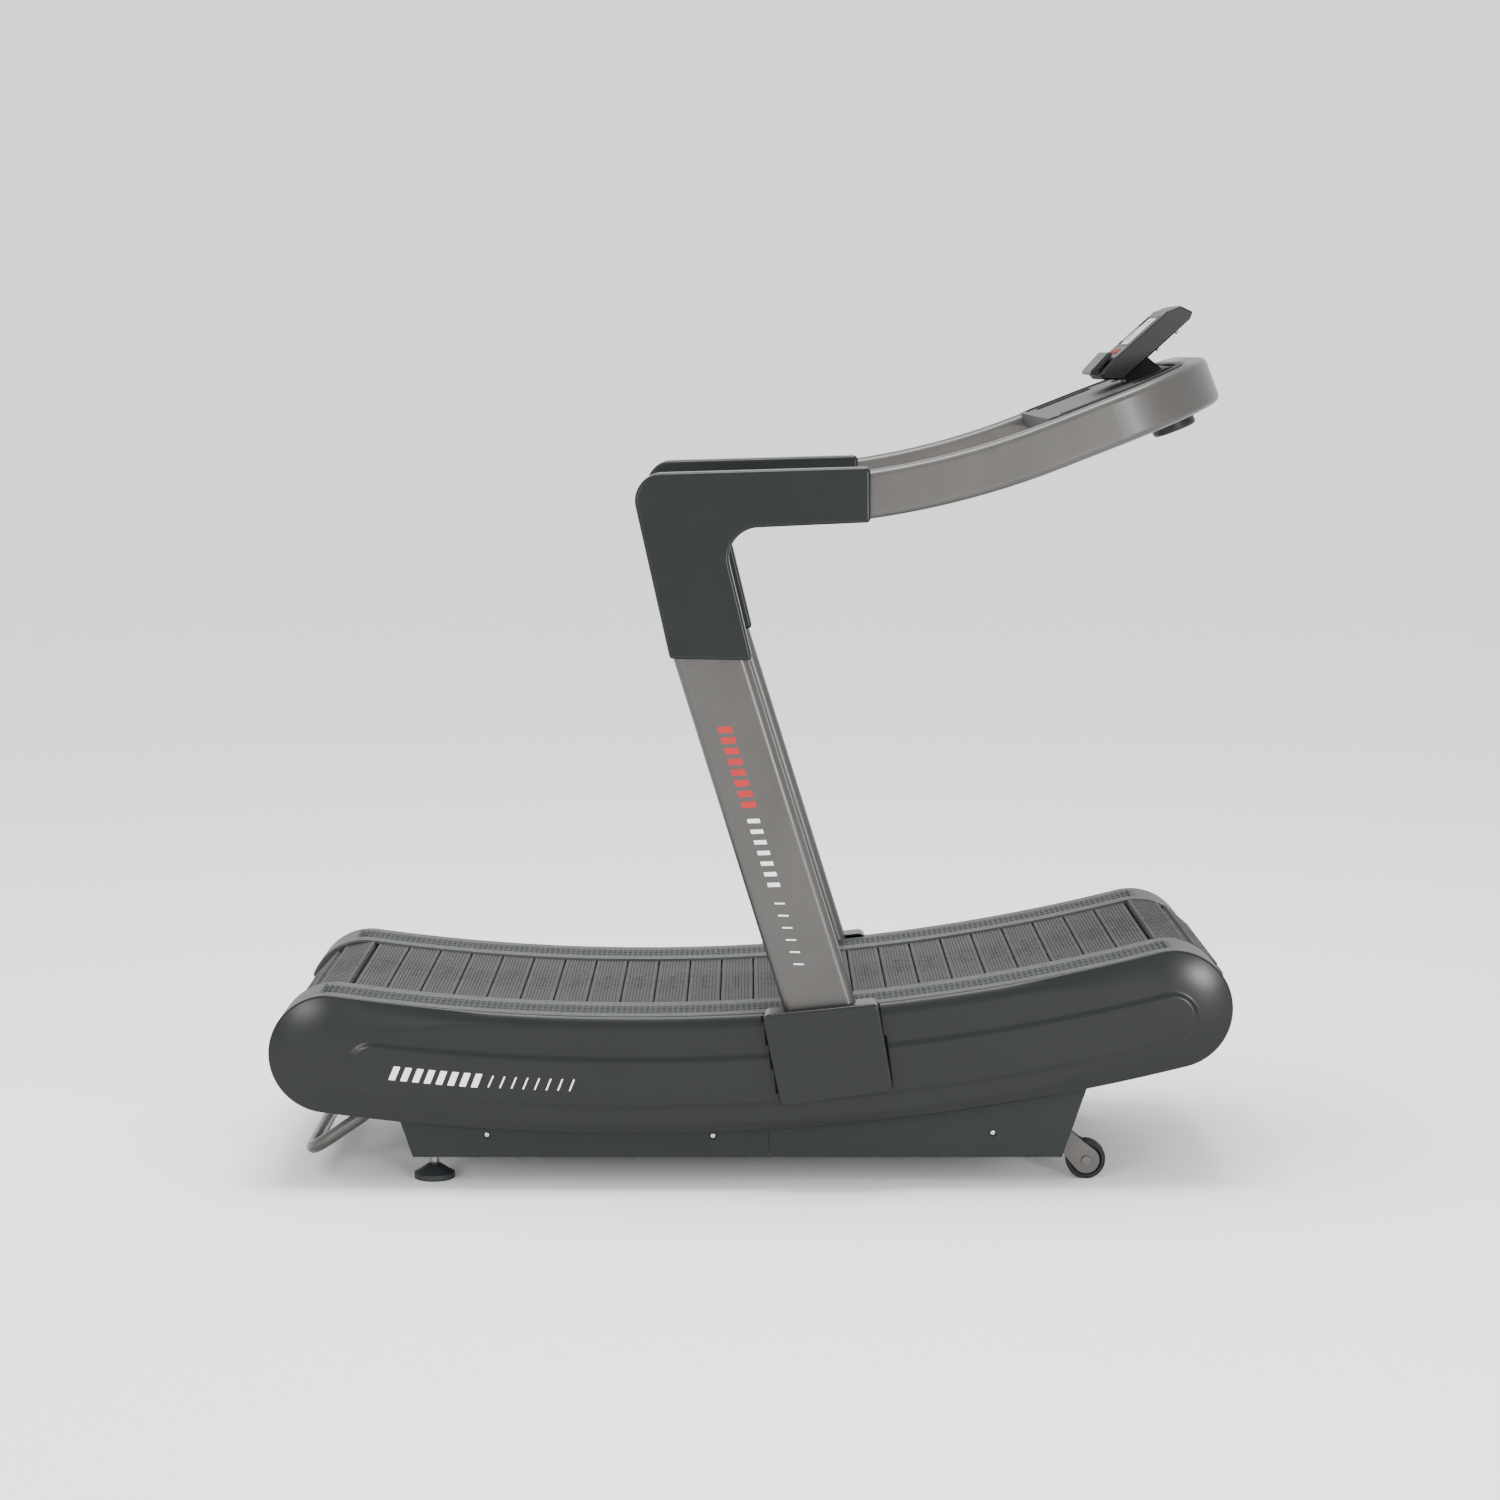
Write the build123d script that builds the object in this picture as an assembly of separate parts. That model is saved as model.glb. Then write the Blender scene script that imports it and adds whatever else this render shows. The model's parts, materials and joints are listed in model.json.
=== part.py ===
from build123d import *
import os
from math import asin, atan, cos, degrees, pi, radians, sin, sqrt, tan

# A curved manual treadmill. X runs forwards to the console, Y to the runner's left, Z up from the floor.
# The origin is on the floor under the middle of the machine. Millimetres and degrees throughout.

# Running surface: one arc in the XZ plane, seen from a centre high above the deck.
RUN_CENTRE = (-218.5, 4263.3)
RUN_SURFACE_R = 3939.0
REAR_JOIN_X, FRONT_JOIN_X = -752.5, 749.0      # where the belt line leaves the arc for the drums
TOP_PITCHES, WRAP_PITCHES, RETURN_PITCHES = 24, 5, 25

# Slats and belts
TREAD_THICK, PLATE_THICK, BELT_THICK = 7.0, 9.0, 6.0
BELT_GAP = 0.2                                 # a flat slat stands clear of the curved belt by this much
SLAT_WIDTH, SLAT_HALF_LENGTH = 60.4, 216.0
FIN_THICK, FIN_DEPTH, FIN_HALF_LENGTH = 5.0, 25.0, 150.0
BELT_INNER_Y, BELT_OUTER_Y = 160.0, 210.0
BELT_END_GAP = 0.4

# Drums
PULLEY_CLEARANCE = 0.4
PULLEY_INNER_Y, PULLEY_OUTER_Y = 176.0, 206.0
PULLEY_WEB, PULLEY_RIM, HUB_R = 8.0, 9.0, 30.0
AXLE_R, AXLE_BODY_R, AXLE_HALF_LENGTH = 15.0, 20.0, 252.0
RUNNING_CLEARANCE = 0.05
BLOCK_R, BLOCK_THICK = 44.0, 22.0

# Frame
PLATE_INNER_Y, PLATE_OUTER_Y = 219.0, 225.0
BASE_Z, BASE_HEIGHT, BASE_WALL = 60.0, 50.0, 3.0
BASE_OUTER_Y = 285.0
BASE_REAR_X, BASE_FRONT_X = -628.0, 571.0
CROSS_BEAM_X = (-560.0, -190.0, 180.0, 540.0)
CROSS_BEAM_SIZE = (50.0, 30.0)
CROSSMEMBER_TURNS = (-5.2, -0.6, 4.0, 8.6, 11.9)
CROSSMEMBER_RUN_R, CROSSMEMBER_R, CROSSMEMBER_WALL = 4048.0, 22.0, 3.0
BEARING_R, BEARING_WIDTH, BEARING_OUTER_Y = 16.0, 12.0, 209.0
BEARING_LIFT = 0.3                             # air between a track bearing and the belt
STUD_R = 5.0

# Side covers, foot rails, skirts
COVER_MID_R, COVER_HALF_HEIGHT = 4046.0, 110.0
COVER_REAR_TURN, COVER_FRONT_TURN = -7.99, 14.17
COVER_INNER_Y, COVER_FACE_Y, PANEL_FACE_Y, COVER_WALL = 311.0, 371.0, 375.0, 3.0
COVER_EDGE_R, PANEL_CHAMFER = 18.0, 2.5
PANEL_MID_R, PANEL_HALF_HEIGHT, PANEL_TURNS = 4058.0, 44.0, (-6.8, 14.1)
RAIL_THICK, RAIL_INNER_Y, RAIL_OUTER_Y, RAIL_WRAP = 4.0, 222.0, 355.0, 78.0
BRACKET_PITCHES = (2, 7, 12, 17, 22)
SKIRT_THICK, SKIRT_OUTER_Y, SKIRT_SEAM_X, SKIRT_TOP_R = 3.0, 310.0, 30.0, 4100.0
SKIRT_BOTTOM_Z = 52.0
SKIRT_BOTTOM_X = (-632.0, 575.0)
SKIRT_TOP_X = (-678.0, 645.0)
SKIRT_SCREWS = ((-494.0, 94.0), (-74.0, 92.0), (446.0, 98.0))

# Uprights and their boots
LEAN = 17.3                                    # the uprights lean back by this angle
UPRIGHT_MID = (120.0, 357.0)                   # a point on the upright's centre line
UPRIGHT_DEPTH, UPRIGHT_THICK, UPRIGHT_EDGE_R, TUBE_WALL = 130.0, 46.0, 16.0, 3.0
UPRIGHT_Y = 349.0
UPRIGHT_BOTTOM_Z, UPRIGHT_TOP_Z = 200.0, 1040.0
BOOT_CORNERS = ((16.0, 338.0), (229.0, 360.0), (258.0, 196.0), (52.0, 166.0))
BOOT_INNER_Y, BOOT_OUTER_Y, BOOT_WALL, BOOT_CORNER_R = 338.5, 397.0, 3.0, 14.0
MOUNT_PLATE_THICK, MOUNT_PLATE_SIZE = 10.0, 110.0

# Handrail: a tube that leaves the grip almost level, curves up and closes as a U in a sloping plane
HAND_HEIGHT, HAND_THICK, HAND_EDGE_R, HAND_Y = 87.0, 44.0, 13.0, 346.0
HAND_REAR = (-80.0, 1269.0)
HAND_REAR_SLOPE, HAND_SLEEVE_SLOPE, HAND_SLOPE = 1.8, 8.0, 21.5
HAND_STRAIGHT, HAND_BEND_R, HAND_ARC_R = 207.6, 700.0, 1500.0
HAND_CORNER_R, HAND_FRONT = 190.0, 307.3       # corner radius, and the front bar's distance up the slope

# Grip covers
GRIP_OUTLINE = ((-150.0, 988.0), (-224.0, 1321.0), (211.0, 1333.0), (212.0, 1234.0), (-57.0, 1222.0),
                (0.0, 985.0))
GRIP_CORNER_R, GRIP_INNER_CORNER_R, GRIP_EDGE_R, GRIP_WALL = 50.0, 55.0, 10.0, 3.0
GRIP_HALF_THICK = 30.0
GRIP_FIT = 0.5

# Tray, cup holders and console
TRAY_TOP, TRAY_PLATE, TRAY_DEPTH, TRAY_RIM = 43.0, 4.0, 26.0, 5.0
TRAY_REAR, TRAY_CORNER_R, TRAY_RIM_WIDTH = 8.0, 28.0, 9.0
CUP_PLACE, CUP_R, CUP_WALL, CUP_BOTTOM = (230.0, 176.0), 41.0, 2.5, -66.0
CONSOLE_ORIGIN, CONSOLE_LEAN = (677.0, 1529.0), 41.86
CONSOLE_OUTLINE = ((-43, -6), (0, 0), (129, 0), (153, -9), (163, -33), (151, -40), (-16, -42), (-43, -18))
CONSOLE_HALF_WIDTH, CONSOLE_WALL = 110.0, 2.5
SCREEN_SIZE, SCREEN_THICK, SCREEN_MID = (78.0, 160.0), 2.0, 74.0
BUTTON_R, BUTTON_Y, BUTTON_UP = 8.0, (40.0, 0.0, -40.0), 16.0
BUTTON_CLEARANCE = 0.3

# Feet, wheels and rear handle
FOOT_X, FOOT_Y, FOOT_R = -597.0, 255.0, 38.0
WHEEL_AXLE, WHEEL_R = (624.0, 37.0), 37.0
WHEEL_Y, WHEEL_WIDTH, WHEEL_BOLT_R = 254.0, 26.0, 5.0
FORK_THICK, FORK_GAP, FORK_END_R = 5.0, 1.5, 25.0
HANDLE_LOW, HANDLE_HIGH, HANDLE_Y, HANDLE_R = (-831.0, 48.0), (-640.0, 179.0), 246.0, 12.5
HANDLE_CORNER_R = 45.0

# Worked out from the sizes above
RUN_R = RUN_SURFACE_R + TREAD_THICK + PLATE_THICK + BELT_THICK / 2      # belt line of the running arc
REAR_TURN = -asin((RUN_CENTRE[0] - REAR_JOIN_X) / RUN_R)
FRONT_TURN = asin((FRONT_JOIN_X - RUN_CENTRE[0]) / RUN_R)
RUN_SPAN = FRONT_TURN - REAR_TURN
PITCH = RUN_R * RUN_SPAN / TOP_PITCHES


def solve_return_run():
    """Angle spanned by the return run, so that both runs and both wraps are whole numbers of pitches."""
    low, high = 0.1, 0.6
    for _ in range(60):
        span = (low + high) / 2
        drum = WRAP_PITCHES * PITCH / (pi + (RUN_SPAN - span) / 2)
        radius = RETURN_PITCHES * PITCH / span
        if (radius - drum) * sin(span / 2) > (RUN_R + drum) * sin(RUN_SPAN / 2):
            low = span
        else:
            high = span
    return span, drum, radius


RETURN_SPAN, DRUM_R, RETURN_R = solve_return_run()


# Plane geometry: points are (x, z), and a turn is an angle from straight down, positive towards the front

def polar(centre, radius, turn):
    return (centre[0] + radius * sin(turn), centre[1] - radius * cos(turn))


def arc(centre, radius, start, end):
    return ThreePointArc(
        polar(centre, radius, start), polar(centre, radius, (start + end) / 2), polar(centre, radius, end)
    )


def sector(centre, inner, outer, start, end):
    """Face of part of a ring."""
    near, far = arc(centre, inner, start, end), arc(centre, outer, start, end)
    return make_face([near, far, Line(near @ 0, far @ 0), Line(near @ 1, far @ 1)])


def closed(points, radii):
    """Face of a polygon with its corners rounded; a single radius serves for all of them."""
    return make_face(FilletPolyline(*points, radius=radii, close=True))


def slab(face, low_y, high_y, origin=(0.0, 0.0), tilt=0.0):
    """A face drawn in (x, z), thickened from low_y to high_y, its frame moved to origin and tilted up."""
    frame = Plane(
        origin=(origin[0], high_y, origin[1]),
        x_dir=(cos(radians(tilt)), 0, sin(radians(tilt))),
        z_dir=(0, -1, 0),
    )
    return extrude(frame * face, amount=high_y - low_y, dir=(0, -1, 0))


def rod(x, z, radius, low_y, high_y):
    return slab(Pos(x, z) * Circle(radius), low_y, high_y)


def tilted(origin, tilt, y=0.0):
    """Frame with x up a slope, y to the left and z square to the slope."""
    slope = radians(tilt)
    return Plane(
        origin=(origin[0], y, origin[1]), x_dir=(cos(slope), 0, sin(slope)), z_dir=(-sin(slope), 0, cos(slope)))


def mirrored(shape):
    return mirror(shape, about=Plane.XZ)


def pair(shape):
    return [shape, mirrored(shape)]


def save(name, *solids):
    shapes = [solid for shape in solids for solid in shape.solids()]
    export_step(Compound(children=shapes), f"parts/{name}.step")


# The loop of belt: four runs, each with its centre, radius, start and end turns, pitches and outward sign

def drum_centre(turn):
    return polar(RUN_CENTRE, RUN_R + DRUM_R, turn)


FRONT_DRUM, REAR_DRUM = drum_centre(FRONT_TURN), drum_centre(REAR_TURN)
LOOP_TILT = (REAR_TURN + FRONT_TURN) / 2
DRUM_MIDDLE = [(front + rear) / 2 for front, rear in zip(FRONT_DRUM, REAR_DRUM)]
RETURN_CENTRE = polar(DRUM_MIDDLE, -(RETURN_R - DRUM_R) * cos(RETURN_SPAN / 2), LOOP_TILT)
RETURN_FRONT_TURN, RETURN_REAR_TURN = LOOP_TILT + RETURN_SPAN / 2, LOOP_TILT - RETURN_SPAN / 2
RUNS = {
    "top": (RUN_CENTRE, RUN_R, REAR_TURN, FRONT_TURN, TOP_PITCHES, -1),
    "front_wrap": (FRONT_DRUM, DRUM_R, FRONT_TURN + pi, RETURN_FRONT_TURN, WRAP_PITCHES, 1),
    "return": (RETURN_CENTRE, RETURN_R, RETURN_FRONT_TURN, RETURN_REAR_TURN, RETURN_PITCHES, 1),
    "rear_wrap": (REAR_DRUM, DRUM_R, RETURN_REAR_TURN, REAR_TURN - pi, WRAP_PITCHES, 1),
}


def slat_plate():
    """Aluminium slat with its stiffening fin, above a belt line at z = 0."""
    base = BELT_THICK / 2 + BELT_GAP
    plate = Pos(0, 0, base + PLATE_THICK / 2) * Box(SLAT_WIDTH, 2 * SLAT_HALF_LENGTH, PLATE_THICK)
    fin = Pos(0, 0, base - FIN_DEPTH / 2) * Box(FIN_THICK, 2 * FIN_HALF_LENGTH, FIN_DEPTH)
    return plate + fin


def slat_tread():
    base = BELT_THICK / 2 + BELT_GAP + PLATE_THICK
    return Pos(0, 0, base + TREAD_THICK / 2) * Box(SLAT_WIDTH, 2 * SLAT_HALF_LENGTH, TREAD_THICK)


def slat_places(run):
    """A location for each slat of a run, with z pointing out of the loop."""
    centre, radius, start, end, count, outward = RUNS[run]
    places = []
    for index in range(count):
        turn = start + (end - start) * (index + 0.5) / count
        point = polar(centre, radius, turn)
        out = (outward * sin(turn), -outward * cos(turn))
        frame = Plane(origin=(point[0], 0, point[1]), x_dir=(out[1], 0, -out[0]), z_dir=(out[0], 0, out[1]))
        places.append(frame.location)
    return places


def belts(run):
    """The pair of belts that the slats are bolted to, cut a little short where the next run begins."""
    centre, radius, start, end, _, _ = RUNS[run]
    gap = BELT_END_GAP / radius * (1 if end > start else -1)
    strip = sector(centre, radius - BELT_THICK / 2, radius + BELT_THICK / 2, start + gap, end - gap)
    return pair(slab(strip, BELT_INNER_Y, BELT_OUTER_Y))


def drum_pulley(centre):
    """Belt pulley with a rim, a drilled web and a hub on the axle, on the left side."""
    rim_r = DRUM_R - BELT_THICK / 2 - PULLEY_CLEARANCE
    x, z = centre[0], centre[1]
    rim = rod(x, z, rim_r, PULLEY_INNER_Y, PULLEY_OUTER_Y)
    rim -= rod(x, z, rim_r - PULLEY_RIM, PULLEY_INNER_Y, PULLEY_OUTER_Y)
    middle = (PULLEY_INNER_Y + PULLEY_OUTER_Y) / 2
    web = rod(x, z, rim_r - PULLEY_RIM, middle - PULLEY_WEB / 2, middle + PULLEY_WEB / 2)
    hub = rod(x, z, HUB_R, PULLEY_INNER_Y, PULLEY_OUTER_Y)
    pulley = rim + web + hub - rod(x, z, AXLE_R, PULLEY_INNER_Y, PULLEY_OUTER_Y)
    hole_r, hole_ring = 14.0, (rim_r - PULLEY_RIM + HUB_R) / 2
    for index in range(6):
        hole = polar((x, z), hole_ring, index * pi / 3)
        pulley -= rod(hole[0], hole[1], hole_r, PULLEY_INNER_Y, PULLEY_OUTER_Y)
    return pulley


def axle(centre, right_end, left_end):
    """Axle with a thicker body between its two pulleys."""
    ends = rod(centre[0], centre[1], AXLE_R, right_end, left_end)
    return ends + rod(centre[0], centre[1], AXLE_BODY_R, -PULLEY_INNER_Y, PULLEY_INNER_Y)


def bearing_block(centre):
    """Flanged bearing on the outside of the side plate."""
    x, z, y = centre[0], centre[1], PLATE_OUTER_Y
    block = rod(x, z, BLOCK_R, y, y + BLOCK_THICK / 2) + rod(x, z, BLOCK_R * 0.7, y, y + BLOCK_THICK)
    return block - rod(x, z, AXLE_R + RUNNING_CLEARANCE, y, y + BLOCK_THICK)


CLUTCH_INNER_Y, CLUTCH_OUTER_Y, CLUTCH_R, CLUTCH_ARM = 250.0, 268.0, 32.0, 70.0


def one_way_clutch():
    """Clutch on the front axle's right end, held from turning by an arm that reaches the side plate."""
    x, z = FRONT_DRUM[0], FRONT_DRUM[1]
    body = rod(x, z, CLUTCH_R, CLUTCH_INNER_Y, CLUTCH_OUTER_Y)
    arm = slab(Pos(x - CLUTCH_ARM / 2, z) * Rectangle(CLUTCH_ARM, 20), CLUTCH_INNER_Y, CLUTCH_INNER_Y + 8)
    foot = slab(Pos(x - CLUTCH_ARM, z) * Rectangle(20, 20), PLATE_OUTER_Y, CLUTCH_INNER_Y + 8)
    bore = rod(x, z, AXLE_R + RUNNING_CLEARANCE, CLUTCH_INNER_Y, CLUTCH_OUTER_Y)
    return mirrored(body + arm + foot - bore)


def tension_bolt():
    """Screw that pushes the rear bearing block back to tighten the belts, in an anchor on the side plate."""
    x, z, y = REAR_DRUM[0] + BLOCK_R, REAR_DRUM[1], PLATE_OUTER_Y + 12
    anchor_x = x + 45
    screw = Cylinder(5, 75, rotation=(0, 90, 0), align=(Align.CENTER, Align.CENTER, Align.MIN))
    head = Pos(75, 0, 0) * Cylinder(9, 7, rotation=(0, 90, 0), align=(Align.CENTER, Align.CENTER, Align.MIN))
    anchor = slab(Pos(anchor_x, z) * Rectangle(16, 30), PLATE_OUTER_Y, PLATE_OUTER_Y + 24)
    return anchor + Pos(x, y, z) * (screw + head)


# Frame

def deck_band(inset, mid_r=COVER_MID_R, half=COVER_HALF_HEIGHT, turns=(COVER_REAR_TURN, COVER_FRONT_TURN)):
    """Outline of the side of the machine: a band along the running arc with round ends."""
    rear, front = radians(turns[0]), radians(turns[1])
    end_r = half - inset
    return make_face([
        arc(RUN_CENTRE, mid_r - end_r, rear, front),
        arc(polar(RUN_CENTRE, mid_r, front), end_r, front + pi, front),
        arc(RUN_CENTRE, mid_r + end_r, front, rear),
        arc(polar(RUN_CENTRE, mid_r, rear), end_r, rear, rear - pi),
    ])


def bearing_places():
    """Middles of the track bearings under one belt; the pitch next to each drum has none."""
    radius = RUN_R + BELT_THICK / 2 + BEARING_R + BEARING_LIFT
    return [
        polar(RUN_CENTRE, radius, REAR_TURN + RUN_SPAN * (index + 0.5) / TOP_PITCHES)
        for index in range(1, TOP_PITCHES - 1)
    ]


def crossmember_places():
    return [polar(RUN_CENTRE, CROSSMEMBER_RUN_R, radians(turn)) for turn in CROSSMEMBER_TURNS]


def side_plate():
    """Left side plate: the band under the foot rail and a web down to the base."""
    band = deck_band(RAIL_THICK)
    web_z = BASE_Z + CROSS_BEAM_SIZE[1]
    web = make_face(Polyline(
        (BASE_REAR_X, web_z), (BASE_FRONT_X, web_z), (BASE_FRONT_X + 30, 220), (BASE_REAR_X - 30, 160),
        close=True
    ))
    plate = slab(band + web, PLATE_INNER_Y, PLATE_OUTER_Y)
    for centre in (FRONT_DRUM, REAR_DRUM):
        plate -= rod(centre[0], centre[1], AXLE_BODY_R + 4, PLATE_INNER_Y, PLATE_OUTER_Y)
    for place in bearing_places():
        plate -= rod(place[0], place[1], STUD_R, PLATE_INNER_Y, PLATE_OUTER_Y)
    for start, end in zip(CROSSMEMBER_TURNS, CROSSMEMBER_TURNS[1:]):
        middle, reach = (start + end) / 2, (end - start) * 0.3
        window = sector(RUN_CENTRE, CROSSMEMBER_RUN_R - 32, CROSSMEMBER_RUN_R + 32,
                        radians(middle - reach), radians(middle + reach))
        plate -= slab(window, PLATE_INNER_Y, PLATE_OUTER_Y)
    return plate


def track_bearing(place):
    inner_y = BEARING_OUTER_Y - BEARING_WIDTH
    ring = rod(place[0], place[1], BEARING_R, inner_y, BEARING_OUTER_Y)
    return ring - rod(place[0], place[1], STUD_R, inner_y, BEARING_OUTER_Y)


def track_stud(place):
    """Stud through the side plate, with a shoulder behind its bearing and a nut outside."""
    x, z = place[0], place[1]
    stud = rod(x, z, STUD_R, BEARING_OUTER_Y - BEARING_WIDTH - 2, PLATE_OUTER_Y + 8)
    stud += rod(x, z, STUD_R + 4, BEARING_OUTER_Y, PLATE_INNER_Y)
    nut = slab(Pos(x, z) * RegularPolygon(STUD_R + 4.5, 6), PLATE_OUTER_Y, PLATE_OUTER_Y + 7)
    return stud + nut


def crossmember(place):
    x, z, y = place[0], place[1], PLATE_INNER_Y
    return rod(x, z, CROSSMEMBER_R, -y, y) - rod(x, z, CROSSMEMBER_R - CROSSMEMBER_WALL, -y, y)


def box_between(x, y, z):
    """Box given by its low and high x, y and z."""
    size = [high - low for low, high in (x, y, z)]
    return Pos(x[0], y[0], z[0]) * Box(*size, align=Align.MIN)


FOOT_STUD_R, FOOT_BOSS_R, FOOT_BOSS_TOP = 8.0, 16.0, 88.0


def base_frame():
    """Welded base: two box rails, the cross beams under the return run and the forks of the wheels."""
    top = BASE_Z + BASE_HEIGHT
    wall = BASE_WALL
    rail = box_between((BASE_REAR_X, BASE_FRONT_X), (PLATE_OUTER_Y, BASE_OUTER_Y), (BASE_Z, top))
    rail -= box_between((BASE_REAR_X + wall, BASE_FRONT_X - wall), (PLATE_OUTER_Y + wall, BASE_OUTER_Y - wall),
                        (BASE_Z + wall, top - wall))
    rail += Pos(FOOT_X, FOOT_Y, BASE_Z + wall) * Cylinder(
        FOOT_BOSS_R, FOOT_BOSS_TOP - BASE_Z - wall, align=(Align.CENTER, Align.CENTER, Align.MIN))
    rail -= Pos(FOOT_X, FOOT_Y, BASE_Z) * Cylinder(
        FOOT_STUD_R + RUNNING_CLEARANCE, FOOT_BOSS_TOP - BASE_Z, align=(Align.CENTER, Align.CENTER, Align.MIN))
    for x, z in SKIRT_SCREWS:
        rail -= rod(x, z, 3.0, BASE_OUTER_Y - wall, BASE_OUTER_Y)
    frame = rail + mirrored(rail)
    length, height = CROSS_BEAM_SIZE
    for x in CROSS_BEAM_X:
        beam = box_between(
            (x - length / 2, x + length / 2), (-PLATE_OUTER_Y, PLATE_OUTER_Y), (BASE_Z, BASE_Z + height))
        bore = box_between((x - length / 2 + wall, x + length / 2 - wall), (-PLATE_OUTER_Y, PLATE_OUTER_Y),
                           (BASE_Z + wall, BASE_Z + height - wall))
        frame += beam - bore
    for plate in wheel_fork():
        frame += plate + mirrored(plate)
    return frame


def rail_bracket(turn):
    """Gusset on the side plate that carries the foot rail."""
    top = polar(RUN_CENTRE, COVER_MID_R - COVER_HALF_HEIGHT + RAIL_THICK, turn)
    along = Plane(origin=(top[0], 0, top[1]), x_dir=(0, 1, 0), z_dir=(cos(turn), 0, sin(turn)))
    gusset = make_face(Polyline(
        (PLATE_OUTER_Y, 0), (RAIL_OUTER_Y - 12, 0), (RAIL_OUTER_Y - 12, -12), (PLATE_OUTER_Y, -52),
        close=True))
    return extrude(along * gusset, amount=2.5, both=True)


# Side covers, foot rails, skirts and boots

def rail_profile(thick):
    """Foot rail seen from the side: the running arc, wrapped part of the way round both ends."""
    top_r = COVER_MID_R - COVER_HALF_HEIGHT
    rear, front, wrap = radians(COVER_REAR_TURN), radians(COVER_FRONT_TURN), radians(RAIL_WRAP)
    end_r = COVER_HALF_HEIGHT
    front_end, rear_end = polar(RUN_CENTRE, COVER_MID_R, front), polar(RUN_CENTRE, COVER_MID_R, rear)
    profile = sector(RUN_CENTRE, top_r, top_r + thick, rear, front)
    profile += sector(front_end, end_r - thick, end_r, front + pi, front + pi - wrap)
    profile += sector(rear_end, end_r - thick, end_r, rear - pi, rear - pi + wrap)
    return profile


def boot_outline(grow):
    outline = closed(BOOT_CORNERS, BOOT_CORNER_R)
    return offset(outline, amount=grow, kind=Kind.ARC) if grow else outline


def upright_bar(grow, bottom_z, top_z, inset=0.0):
    """Rounded bar along the upright, from the height of its centre line at one end to that at the other."""
    lean = radians(LEAN)
    start_x = UPRIGHT_MID[0] + (UPRIGHT_MID[1] - bottom_z) * tan(lean)
    frame = Plane(
        origin=(start_x, UPRIGHT_Y, bottom_z), x_dir=(cos(lean), 0, sin(lean)),
        z_dir=(-sin(lean), 0, cos(lean)))
    depth, thick = UPRIGHT_DEPTH + 2 * (grow - inset), UPRIGHT_THICK + 2 * (grow - inset)
    section = RectangleRounded(depth, thick, UPRIGHT_EDGE_R + grow - inset)
    return extrude(frame * section, amount=(top_z - bottom_z) / cos(lean))


def foot_rail():
    rail = slab(rail_profile(RAIL_THICK), RAIL_INNER_Y, RAIL_OUTER_Y)
    rail -= slab(boot_outline(0.3), BOOT_INNER_Y - 0.3, RAIL_OUTER_Y)
    return rail - upright_bar(0.5, UPRIGHT_BOTTOM_Z, 500)


def side_cover():
    """Moulded side cover with its raised panel, open towards the machine and cut out for the boot."""
    body = slab(deck_band(0), COVER_INNER_Y, COVER_FACE_Y)
    body = fillet(body.faces().sort_by(Axis.Y)[-1].edges(), COVER_EDGE_R)
    panel = slab(deck_band(0, PANEL_MID_R, PANEL_HALF_HEIGHT, PANEL_TURNS), COVER_FACE_Y - 1, PANEL_FACE_Y)
    panel = chamfer(panel.faces().sort_by(Axis.Y)[-1].edges(), PANEL_CHAMFER)
    cavity = slab(deck_band(COVER_WALL), COVER_INNER_Y, COVER_FACE_Y - COVER_WALL)
    cavity = fillet(cavity.faces().sort_by(Axis.Y)[-1].edges(), COVER_EDGE_R - COVER_WALL)
    cover = body + panel - cavity
    cover -= slab(rail_profile(RAIL_THICK), COVER_INNER_Y, RAIL_OUTER_Y + 0.3)
    return cover - slab(boot_outline(0.3), BOOT_INNER_Y - 1, BOOT_OUTER_Y)


def skirt():
    """Lower side panel in two lengths that meet at a seam."""
    rear_top, front_top = [
        (x, RUN_CENTRE[1] - sqrt(SKIRT_TOP_R ** 2 - (x - RUN_CENTRE[0]) ** 2)) for x in SKIRT_TOP_X
    ]
    middle_top = (RUN_CENTRE[0], RUN_CENTRE[1] - SKIRT_TOP_R)
    rear_low, front_low = [(x, SKIRT_BOTTOM_Z) for x in SKIRT_BOTTOM_X]
    outline = make_face([
        Line(rear_low, front_low), Line(front_low, front_top),
        ThreePointArc(front_top, middle_top, rear_top), Line(rear_top, rear_low),
    ])
    sheet = slab(outline, SKIRT_OUTER_Y - SKIRT_THICK, SKIRT_OUTER_Y)
    for x, z in SKIRT_SCREWS:
        sheet -= rod(x, z, 7.0, SKIRT_OUTER_Y - SKIRT_THICK, SKIRT_OUTER_Y)
    return sheet - box_between((SKIRT_SEAM_X - 0.4, SKIRT_SEAM_X + 0.4), (0, 400), (0, 400))


def skirt_screw(x, z):
    """Shouldered screw in the base rail: the skirt rests on its flange and hides all but the head."""
    screw = rod(x, z, 3.0, BASE_OUTER_Y - 10, BASE_OUTER_Y) + rod(x, z, 6.0, BASE_OUTER_Y, SKIRT_OUTER_Y - 6)
    screw += rod(x, z, 11.0, SKIRT_OUTER_Y - 6, SKIRT_OUTER_Y - SKIRT_THICK)
    return screw + rod(x, z, 4.2, SKIRT_OUTER_Y - SKIRT_THICK, SKIRT_OUTER_Y - 0.7)


def boot():
    """Cover over the foot of the upright, with a hole in its top for the tube."""
    body = slab(boot_outline(0), BOOT_INNER_Y, BOOT_OUTER_Y)
    body = fillet(body.faces().sort_by(Axis.Y)[-1].edges(), 5.0)
    body -= slab(boot_outline(-BOOT_WALL), BOOT_INNER_Y, BOOT_OUTER_Y - BOOT_WALL)
    return body - upright_bar(0.5, UPRIGHT_BOTTOM_Z, 500)


# Uprights

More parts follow.
